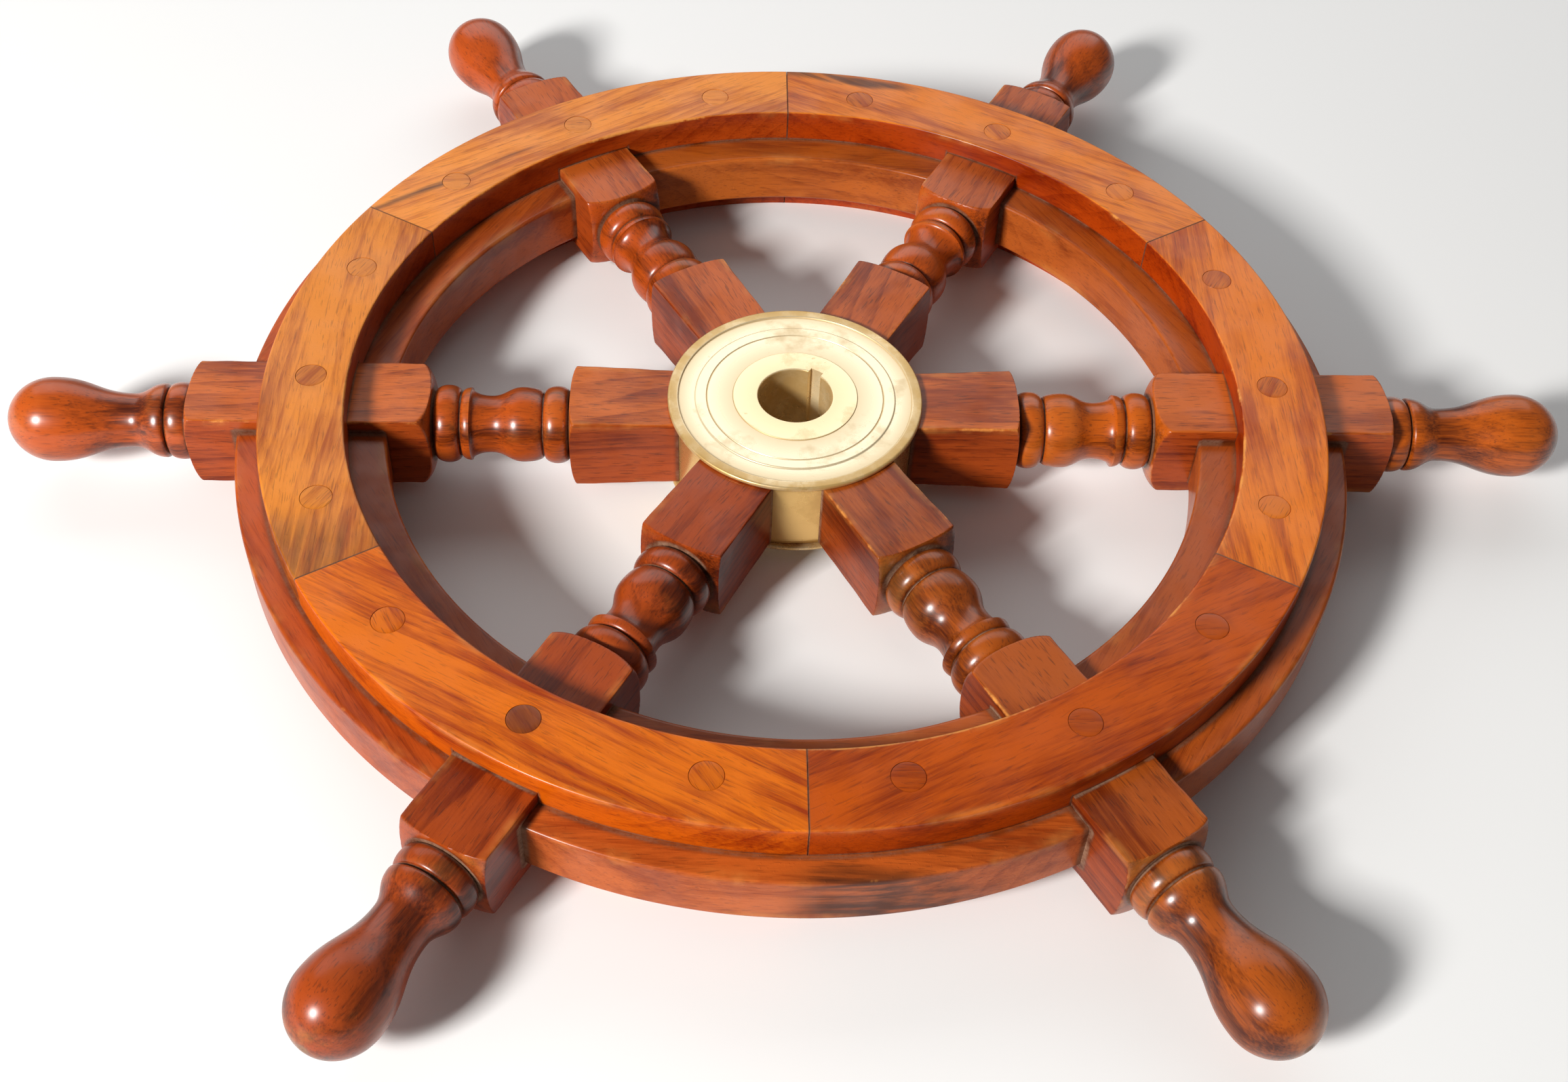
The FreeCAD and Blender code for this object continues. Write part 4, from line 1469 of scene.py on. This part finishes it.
@dataclass
class Rim:
    """Felloes between the spokes, with facing segments and plugs on the front and the back."""

    places: Places
    effects: Effects
    circle: ScrewCircle
    notch_clearance: float = 0.1
    joint_gap: float = 0.017
    plug_crown: float = 0.06
    hole_clearance: float = 0.05
    facing_rub: float = 1.15
    felloe_rub: float = 1.9
    wall_shade_dust: float = 0.9
    foot_shade_dust: float = 1.3
    block_shade_dust: float = 2.4
    round_columns: int = 48
    dark_plug: int = 13

    def facing_skin(self) -> Skin:
        """A facing segment centred on the first spoke, notched over its block.

        Beside the notch the rows run parallel to the spoke, and they turn step by step until the
        last lies along the joint. Over the block the underside is raised to the notch's top. The
        last two rows are drawn in a little, which softens the joint's arrises.

        Returns:
            The surface, without masks.
        """
        places = self.places
        section = Section(places.facing_inner, places.facing_outer, places.felloe_face, places.facing_face,
                          low_round=0.3, high_round=0.9)
        notch = places.half_stock + self.notch_clearance
        end = math.radians(places.step / 2 - self.joint_gap)
        share = crowded(0, 1, 44)
        share = np.concatenate([share[share < 0.998], [0.9988, 0.9996, 1.0]])
        drawn_in = np.concatenate([np.zeros(len(share) - 2), [0.09, 0.32]])
        half_angle, half_aside = share * end, (1 - share) * notch
        over = crowded(-notch, notch, 26)
        angle = np.concatenate([-half_angle[::-1], np.zeros(len(over)), half_angle])
        aside = np.concatenate([-half_aside[::-1], over, half_aside])
        inset = np.concatenate([drawn_in[::-1], np.zeros(len(over)), drawn_in])[:, None]
        raised = np.zeros((len(angle), 1), bool)
        raised[len(share):len(share) + len(over)] = True
        radius, full = section.loop(section.low)
        _, notched = section.loop(notch)
        height = np.where(raised, notched, full)
        radius = np.clip(np.broadcast_to(radius, height.shape), section.inner + inset, section.outer - inset)
        height = np.clip(height, section.low + inset, section.high - inset)
        middle, centre = (section.inner + section.outer) / 2, (section.low + section.high) / 2
        poles = np.array([[middle * math.cos(turn), middle * math.sin(turn), centre] for turn in (-end, end)])
        return skin_from_grid(swept(radius, height, angle, aside), {}, poles)

    def facing_masks(self, points: np.ndarray) -> dict[str, np.ndarray]:
        """Where a facing segment is rubbed, where painted shade and dust lie, and where it is flat on top,
        from its points alone.

        Args:
            points: the segment's points in millimetres.

        Returns:
            A value per point for each mask.
        """
        places = self.places
        radius, height = np.hypot(points[:, 0], points[:, 1]), np.abs(points[:, 2])
        inner, outer = places.facing_inner, places.facing_outer
        drop = places.facing_face - height
        to_edge = np.minimum(np.abs(radius - inner), np.abs(outer - radius))
        rubbed = np.where(radius < (inner + outer) / 2, 1.3, 0.55)
        edge = rubbed * near(drop + to_edge, 0, self.facing_rub)
        on_wall = to_edge < 0.05
        foot = near(height, places.felloe_face, self.wall_shade_dust) * on_wall
        beside = radius * np.sin(places.fold(points)) - places.half_stock
        along = (height < places.half_stock) * near(beside, 0, 1.0) * on_wall
        above = near(height, places.half_stock, 0.7) * (beside < 0.2) * on_wall
        # corner: painted shade and dust at the walls' feet and beside the blocks; top: 1 on the face, 0 on
        # the inner wall and 0.45 elsewhere, so the inner wall takes the most painted shade
        return {"edge": edge, "corner": np.maximum.reduce([foot, along * 0.9, above]),
                "top": np.where(drop < 0.3, 1.0, 0.45 * (radius > inner + 1))}

    def felloe_skin(self) -> Skin:
        """The felloe between the first two spokes.

        Its rows turn evenly from parallel to the one spoke to parallel to the other: at share t
        the direction is t times the step, and the row lies (1 - 2t) of the half block beside it.

        Returns:
            The surface.
        """
        places = self.places
        section = Section(places.felloe_inner, places.felloe_outer, -places.felloe_face, places.felloe_face,
                          low_round=1.4, high_round=1.4)
        radius, height = section.loop(section.low)
        share = crowded(0, 1, 110, 1.9)
        angle = share * math.radians(places.step)
        aside = (1 - 2 * share) * (places.half_stock + self.notch_clearance)
        shape = (len(share), len(radius))
        grid = swept(np.broadcast_to(radius, shape), np.broadcast_to(height, shape), angle, aside)
        middle = (section.inner + section.outer) / 2
        poles = swept(np.full((2, 1), middle), np.zeros((2, 1)), angle[[0, -1]], aside[[0, -1]])[:, 0]
        return skin_from_grid(grid, self._felloe_masks(grid, section), poles)

    def _felloe_masks(self, grid: np.ndarray, section: Section) -> dict[str, np.ndarray]:
        """Where a felloe is rubbed, and where painted shade and dust lie: its arrises, the blocks' sides and
        the facings' feet, with a painted shadow of the facing over the ledge inside it.

        Args:
            grid: its points, rows by columns by three.
            section: its section.

        Returns:
            A value per point for each mask.
        """
        places = self.places
        radius, height = np.hypot(grid[..., 0], grid[..., 1]), np.abs(grid[..., 2])
        to_wall = np.minimum(np.abs(radius - section.inner), np.abs(section.outer - radius))
        edge = near(section.high - height + to_wall, 0, self.felloe_rub)
        block = near(radius * np.sin(places.fold(grid)), places.half_stock, self.block_shade_dust)
        on_face = section.high - height < 0.3
        foot = on_face * (near(radius, places.facing_outer, self.foot_shade_dust)
                          + near(radius, places.facing_inner, self.foot_shade_dust))
        # painted shadow of the facing over the ledge inside it
        inner_ledge_shadow = 0.32 * on_face * (radius < places.facing_inner)
        return {"edge": edge, "corner": np.maximum.reduce([block * 0.95, foot, inner_ledge_shadow]),
                "top": on_face.astype(float)}

    def plug_skin(self) -> Skin:
        """The front's plugs: short rounds with a faint crown, each with its own tone.

        Returns:
            One surface with every plug, whose mask "turned" holds the tone.
        """
        circle, places = self.circle, self.places
        face, low = places.facing_face - circle.sink + self.plug_crown, places.facing_face - circle.depth
        radius = circle.plug * np.array([1.0, 1.0, 0.97, 0.9, 0.6, 0.3])
        height = np.array([low, face - 0.3, face - 0.06, face, face + 0.02, face + 0.03])
        # painted shade with some grime round the plug's rim, through the corner mask
        shade_and_dirt = 0.25 * np.array([0, 0.5, 1.0, 0.6, 0, 0])
        level = np.ones(len(radius))
        angles = circle.angles(places.count)
        tones = np.random.default_rng(7).uniform(0.0, 0.16, len(angles))
        tones[self.dark_plug] = 0.72
        return joined([
            rod(radius, height, self.round_columns,
                {"corner": shade_and_dirt, "turned": tone * level, "edge": 0 * level, "top": level},
                face + 0.035).moved(circle.centre(angle))
            for angle, tone in zip(angles, tones)])

    def plug_holes(self, index: int) -> Skin:
        """The three counterbores in a facing segment.

        Args:
            index: which segment.

        Returns:
            The holes as closed surfaces, standing proud of the face.
        """
        circle, places = self.circle, self.places
        low, high = places.facing_face - circle.depth - 0.1, places.facing_face + 1
        radius = circle.plug + self.hole_clearance
        hole = rod(np.full(2, radius), np.array([low, high]), self.round_columns, {}, high)
        middle = index * places.step
        return joined([hole.moved(circle.centre(middle + side * circle.spread)) for side in (-1, 0, 1)])

    def build(self) -> None:
        """Makes and dresses the facings, the felloes and the plugs."""
        places = self.places
        facing, felloe = self.facing_skin(), self.felloe_skin()
        for index in range(places.count):
            turn = index * places.step
            # the facings' walls take a painted shade: the wood times (0.50, 0.21, 0.12)
            finish = WoodFinish(f"facing_{index + 1}_varnish", FACING_BOARDS[index], turn + 90, wear=0.38,
                                rim=True, wall=(0.50, 0.21, 0.12))
            material = finish.material(self.effects)
            front, holes = facing.turned(turn), self.plug_holes(index)
            faces = {"front": (front, holes), "back": (front.mirrored(), holes.mirrored())}
            for side, (shape, cutter) in faces.items():
                piece = pierced(mesh_of(f"{side}_facing_{index + 1}_shaped", shape), cutter)
                self._mark(piece)
                stand_in(piece, f"{side}_facing_{index + 1}", material)
        for index in range(places.count):
            turn = index * places.step
            piece = mesh_of(f"felloe_{index + 1}_shaped", felloe.turned(turn))
            # the felloes' walls take a faint painted shade: a little darker and less red than their faces
            finish = WoodFinish(f"felloe_{index + 1}_varnish", felloe_board(index),
                                turn + places.step / 2 + 90, wear=0.26, wall=(0.86, 0.95, 1.5))
            stand_in(piece, f"felloe_{index + 1}", finish.material(self.effects))
        self._build_plugs()

    def _mark(self, piece: bpy.types.Object) -> None:
        """Puts the facing masks on a piece whose holes are cut.

        Args:
            piece: the facing segment.
        """
        points = np.zeros(len(piece.data.vertices) * 3, np.float32)
        piece.data.vertices.foreach_get("co", points)
        for name, values in self.facing_masks(points.reshape(-1, 3) / METRES).items():
            attribute = piece.data.attributes.new(name, "FLOAT", "POINT")
            attribute.data.foreach_set("value", values.astype(np.float32))

    def _plug_finish(self, index: int) -> WoodFinish:
        """The finish of a segment's plugs: its own board a little darker, down to a dark wood.

        Args:
            index: which segment.

        Returns:
            The finish.
        """
        board = FACING_BOARDS[index]
        plug_board = replace(board, pale=tuple(0.92 * part for part in board.pale), seed=board.seed + 0.7,
                             heart_amount=0.0, pores=0.8)
        dark = Board((0.13, 0.030, 0.008), (0.06, 0.013, 0.004), seed=33.0, figure=0.3, pores=0.8)
        return WoodFinish(f"plug_{index + 1}_varnish", plug_board, index * self.places.step + 60, turned=dark,
                          wear=0.1, shade_grime=0.5, dust=0.1)

    def _build_plugs(self) -> None:
        """Makes the plugs of each face, and gives each the finish of the segment that it is in."""
        places, skin = self.places, self.plug_skin()
        materials = [self._plug_finish(index).material(self.effects) for index in range(places.count)]
        for side, shape in (("front", skin), ("back", skin.mirrored())):
            piece = mesh_of(f"{side}_plugs_shaped", shape)
            stand_in(piece, f"{side}_plugs", materials[0])
            for material in materials[1:]:
                piece.data.materials.append(material)
            centres = np.zeros(len(piece.data.polygons) * 3, np.float32)
            piece.data.polygons.foreach_get("center", centres)
            x, y, _ = centres.reshape(-1, 3).T
            segment = (np.degrees(np.arctan2(y, x)) + places.step / 2) // places.step % places.count
            piece.data.polygons.foreach_set("material_index", segment.astype(np.int32))


# ---- hub ------------------------------------------------------------------------------------
@dataclass
class Hub:
    """The brass hub: drum, two plates with a rolled lip, and the bored and keyed bush."""

    places: Places
    effects: Effects
    band_wall: float = 2.0
    tenon_hole: float = 10.05
    plate_face: float = 17.4
    field_drop: float = 0.4
    lip_width: float = 4.2
    step_inset: float = 10.4
    line_inset: float = 15.1
    line_depth: float = 0.35
    bush_wall: float = 4.5
    flange_thickness: float = 1.2
    flange_rise: float = 0.3
    mouth: float = 0.6
    keyway_width: float = 5.4
    keyway_depth: float = 2.0
    keyway_angle: float = 57.0
    fit: float = 0.05
    plate_columns: int = 256
    band_columns: int = 192
    hole_columns: int = 40

    @property
    def lip_inner(self) -> float:
        """The radius at which the plate's lip ends."""
        return self.places.plate - self.lip_width

    @property
    def step(self) -> float:
        """The radius of the step up to the plate's middle."""
        return self.places.plate - self.step_inset

    @property
    def line(self) -> float:
        """The radius of the plate's fine line."""
        return self.places.plate - self.line_inset

    def plate_profile(self, flanged: bool) -> np.ndarray:
        """The plate's outline: rolled lip, sunk field, step up, fine line, and the hole.

        Args:
            flanged: whether the plate is rebated for the bush's flange.

        Returns:
            (radius, height) points.
        """
        places, lip_inner, step, line = self.places, self.lip_inner, self.step, self.line
        outer, seat, lip = places.plate, places.plate_seat, places.lip_top
        roll = (lip - seat) / 2
        field_top = self.plate_face - self.field_drop
        hole = places.bore + self.bush_wall + self.fit
        corners = [
            (outer, seat, roll * 0.95), (outer, lip, roll * 0.95),
            (lip_inner + 0.15, lip, 0.5), (lip_inner, field_top, 0.12),
            (step, field_top, 0.25), (step - 0.4, self.plate_face, 0.25),
            (line + 0.32, self.plate_face, 0.08), (line, self.plate_face - self.line_depth, 0.1),
            (line - 0.32, self.plate_face, 0.08)]
        if flanged:
            rebate = places.flange + self.fit
            floor = places.bush_top - self.flange_thickness - self.fit
            corners += [(rebate, self.plate_face, 0.06), (rebate, floor, 0.02), (hole, floor, 0.02)]
        else:
            corners += [(hole, self.plate_face, 0.05)]
        corners.append((hole, seat, 0.05))
        return filleted(corners, 7)

    def plate(self, flanged: bool) -> Skin:
        """A plate on the front, with tarnish and painted shade in its corners and a tarnished lip.

        Args:
            flanged: whether the plate is rebated for the bush's flange.

        Returns:
            The surface.
        """
        profile = self.plate_profile(flanged)
        radius, height = profile.T
        shown = height > self.places.plate_seat + 0.3
        # tarnish in the corners, widened into a painted shade at the lip, the step and the fine line
        corner = shown * np.maximum.reduce([
            0.8 * near(radius, self.lip_inner, 0.4), 0.5 * near(radius, self.step - 0.2, 0.5),
            0.7 * near(radius, self.line, 0.4), 0.6 * near(radius, self.places.flange + self.fit, 0.4)])
        edge = np.clip(radius - self.lip_inner, 0, 1)
        return lathe(profile, self.plate_columns, {"corner": corner, "edge": edge})

    def band(self) -> Skin:
        """The drum: a plain ring with softened edges, and rows between them on its outer wall.

        Returns:
            The surface.
        """
        places = self.places
        outer, inner, top = places.drum, places.drum - self.band_wall, places.drum_top
        steps, levels, tarnish_reach = 5, np.linspace(-top + 1, top - 1, 16), 3
        corners = [(outer, -top, 0.3), (outer, top, 0.3), (inner, top, 0.1), (inner, -top, 0.1)]
        profile = filleted(corners, steps)
        first_corner = steps + 2
        wall = np.stack([np.full(len(levels), outer), levels], -1)
        profile = np.concatenate([profile[:first_corner], wall, profile[first_corner:]])
        edge = np.clip((np.abs(profile[:, 1]) - top + tarnish_reach) / tarnish_reach, 0, 1)
        return lathe(profile, self.band_columns, {"corner": 0.8 * edge ** 2, "edge": edge * 0.6})

    def tenon_holes(self) -> Skin:
        """Round holes through the drum for the spokes' tenons.

        Returns:
            The holes as closed surfaces, standing proud of both walls.
        """
        start, end = self.places.drum - 6, self.places.drum + 3
        upright = rod(np.full(2, self.tenon_hole), np.array([start, end]), self.hole_columns, {}, end)
        hole = replace(upright, points=upright.points[:, [2, 0, 1]])
        return joined([hole.turned(index * self.places.step) for index in range(self.places.count)])

    def bush(self) -> Skin:
        """The bush: a flanged sleeve whose bore widens at the keyway.

        Within the keyway the inner radius in direction d is the keyway's floor over cos d, or
        half its width over sin d, whichever is less, and elsewhere the bore's own radius.

        Returns:
            The surface.
        """
        places, mouth = self.places, self.mouth
        bore, foot, top = places.bore, places.bush_foot, places.bush_top
        sleeve, under = bore + self.bush_wall, top - self.flange_thickness
        profile = filleted([
            (bore, foot, mouth), (sleeve, foot, 0.2), (sleeve, under, 0.02), (places.flange, under, 0.02),
            (places.flange, top, self.flange_rise), (bore, top, mouth)], 6)
        corner_angle = math.asin(self.keyway_width / 2 / bore)
        sides = math.atan(self.keyway_width / 2 / (bore + self.keyway_depth))
        past, clear = corner_angle + 0.02, corner_angle + 0.04
        offsets = np.concatenate([
            np.linspace(-past, -sides, 7), np.linspace(-sides, sides, 9)[1:-1], np.linspace(sides, past, 7),
            np.linspace(clear, 2 * math.pi - clear, 170)])
        away = np.abs((offsets + math.pi) % (2 * math.pi) - math.pi)
        floor_reach = (bore + self.keyway_depth) / np.cos(np.minimum(away, 1.0))
        side_reach = self.keyway_width / 2 / np.sin(np.maximum(away, 1e-4))
        key = np.where(away <= corner_angle, np.minimum(floor_reach, side_reach), bore)
        angle = math.radians(self.keyway_angle) + offsets
        radius, height = profile[:, :1], profile[:, 1:]
        inside = radius < sleeve - 0.5
        radius = np.where(inside, np.maximum(radius, key[None, :]), radius)
        grid = np.stack([radius * np.cos(angle), radius * np.sin(angle),
                         np.broadcast_to(height, radius.shape)], -1)
        in_bore = (radius < bore + 0.1) * np.ones_like(radius)
        corner = 0.8 * near(radius, places.flange, 0.25) + 0.25 * near(radius, bore + 1.0, 1.6)
        return skin_from_grid(grid, {"corner": corner, "edge": in_bore * 0.8})

    def build(self) -> None:
        """Makes and dresses the brass pieces."""
        plate = BrassFinish("plate_brass_polished", (1.0, 0.89, 0.64), amount=0.32, metal=0.50)
        drum = BrassFinish("drum_brass_polished", (0.80, 0.52, 0.19), amount=0.35, metal=0.8)
        bush = BrassFinish("bush_brass_polished", (1.0, 0.83, 0.52), amount=0.28, metal=0.50)
        plate_material = plate.material(self.effects)
        front, back = self.plate(True), self.plate(False).mirrored()
        stand_in(mesh_of("hub_front_plate_turned", front), "hub_front_plate", plate_material)
        stand_in(mesh_of("hub_back_plate_turned", back), "hub_back_plate", plate_material)
        band = pierced(mesh_of("hub_band_turned", self.band()), self.tenon_holes())
        stand_in(band, "hub_band", drum.material(self.effects))
        sleeve = mesh_of("hub_bush_turned", self.bush())
        stand_in(sleeve, "hub_bush", bush.material(self.effects))

    def dress_inside(self) -> None:
        """Finishes the pieces inside the wheel, which keep their plain shape."""
        raw = Board((0.42, 0.2, 0.08), (0.25, 0.11, 0.04), seed=41.0, figure=0.5)
        nave = WoodFinish("nave_raw_wood", raw, 0.0, coat_roughness=0.6).material(self.effects)
        dress(frame["nodes"]["nave"], nave)
        screw = BrassFinish("screw_brass_plain", (0.80, 0.58, 0.26), amount=0.5, turning=0.2, roughness=0.3)
        screw_material = screw.material(self.effects)
        for node in ("front_screws", "back_screws"):
            dress(frame["nodes"][node], screw_material)
        LOG.info("nave and screws dressed")


# ---- studio ---------------------------------------------------------------------------------
@dataclass(frozen=True)
class Lamp:
    """A soft rectangular lamp: the direction it shines from, its distance, size and power."""

    name: str
    direction: tuple[float, float, float]
    distance: float
    width: float
    height: float
    power: float
    colour: Colour = (1.0, 1.0, 1.0)

    def hang(self) -> None:
        """Adds the lamp, turned towards the wheel's centre."""
        data = bpy.data.lights.new(self.name, "AREA")
        data.shape, data.size, data.size_y = "RECTANGLE", self.width, self.height
        data.energy, data.color = self.power, self.colour
        lamp = bpy.data.objects.new(self.name, data)
        away = Vector(self.direction).normalized()
        lamp.location = away * self.distance
        lamp.rotation_mode = "QUATERNION"
        lamp.rotation_quaternion = away.to_track_quat("Z", "Y")
        bpy.context.scene.collection.objects.link(lamp)


@dataclass(frozen=True)
class View:
    """The camera: what it looks at in metres, its angles in degrees, and its lens."""

    target: tuple[float, float, float] = (-0.00476, -0.05965, 0.0)
    distance: float = 0.7027
    azimuth: float = -3.11
    elevation: float = 48.716
    roll: float = 2.87
    lens: float = 43.21
    sensor: float = 36.0
    clip: tuple[float, float] = (0.02, 50.0)

    def place(self) -> None:
        """Adds the camera: it sits back along its line of sight, and rolls about it."""
        azimuth, elevation = math.radians(self.azimuth), math.radians(self.elevation)
        back = Vector((math.sin(azimuth) * math.cos(elevation), -math.cos(azimuth) * math.cos(elevation),
                       math.sin(elevation)))
        right = Vector((0, 0, 1)).cross(back).normalized()
        up = back.cross(right)
        roll = math.radians(self.roll)
        cosine, sine = math.cos(roll), math.sin(roll)
        right, up = right * cosine + up * sine, up * cosine - right * sine
        data = bpy.data.cameras.new("camera")
        data.lens, data.sensor_width, data.sensor_fit = self.lens, self.sensor, "HORIZONTAL"
        data.clip_start, data.clip_end = self.clip
        camera = bpy.data.objects.new("camera", data)
        camera.matrix_world = Matrix((right, up, back)).transposed().to_4x4()
        camera.location = Vector(self.target) + back * self.distance
        bpy.context.scene.collection.objects.link(camera)
        bpy.context.scene.camera = camera


@dataclass
class Studio:
    """A pale floor, a small key from the front left, a broad lamp behind and a faintly lit room."""

    places: Places
    floor_size: float = 12.0
    floor_gap: float = 0.05
    floor_colour: Colour = (0.90, 0.90, 0.895)
    room: Colour = (1.0, 1.0, 1.0)
    room_strength: float = 0.14

    def build(self) -> None:
        """Adds the floor, the lamps, the room's light and the camera."""
        self._floor()
        self._room()
        Lamp("key", direction=(-0.62, -0.59, 0.52), distance=2.2, width=0.40, height=0.40, power=68.0,
             colour=(1.0, 0.985, 0.96)).hang()
        Lamp("far", direction=(-0.06, 0.80, 0.60), distance=1.9, width=3.2, height=1.25, power=19.0).hang()
        View().place()
        bpy.context.scene.view_settings.view_transform = "Standard"

    def _floor(self) -> None:
        """The floor just under the wheel, in a matt pale paint with a faint mottle."""
        half, level = self.floor_size / 2, (self.places.floor - self.floor_gap) * METRES
        mesh = bpy.data.meshes.new("floor")
        corners = [(x * half, y * half, level) for x, y in ((-1, -1), (1, -1), (1, 1), (-1, 1))]
        mesh.from_pydata(corners, [], [(0, 1, 2, 3)])
        floor = bpy.data.objects.new("floor", mesh)
        bpy.context.scene.collection.objects.link(floor)
        material, bench = blank_material("floor_paint")
        mottle = bench.noise(bench.place(), 3.0, 2.0)
        shade = tuple(part * 0.985 for part in self.floor_colour)
        bench.surface({"Base Color": bench.mix(mottle, self.floor_colour, shade), "Roughness": 0.9})
        dress(floor, material)

    def _room(self) -> None:
        """Faint even white light from all round."""
        world = bpy.data.worlds.new("room")
        world.use_nodes = True
        background = world.node_tree.nodes["Background"]
        background.inputs["Color"].default_value = (*self.room, 1.0)
        background.inputs["Strength"].default_value = self.room_strength
        bpy.context.scene.world = world


def main() -> None:
    """Builds the wheel and its studio."""
    logging.basicConfig(level=logging.INFO, format="%(name)s: %(message)s")
    places = Places.from_frame()
    circle = ScrewCircle()
    effects = Effects.build(circle, places.count)
    Studio(places).build()
    Spokes(places, effects).build()
    Rim(places, effects, circle).build()
    hub = Hub(places, effects)
    hub.build()
    hub.dress_inside()


if __name__ == "__main__":
    main()
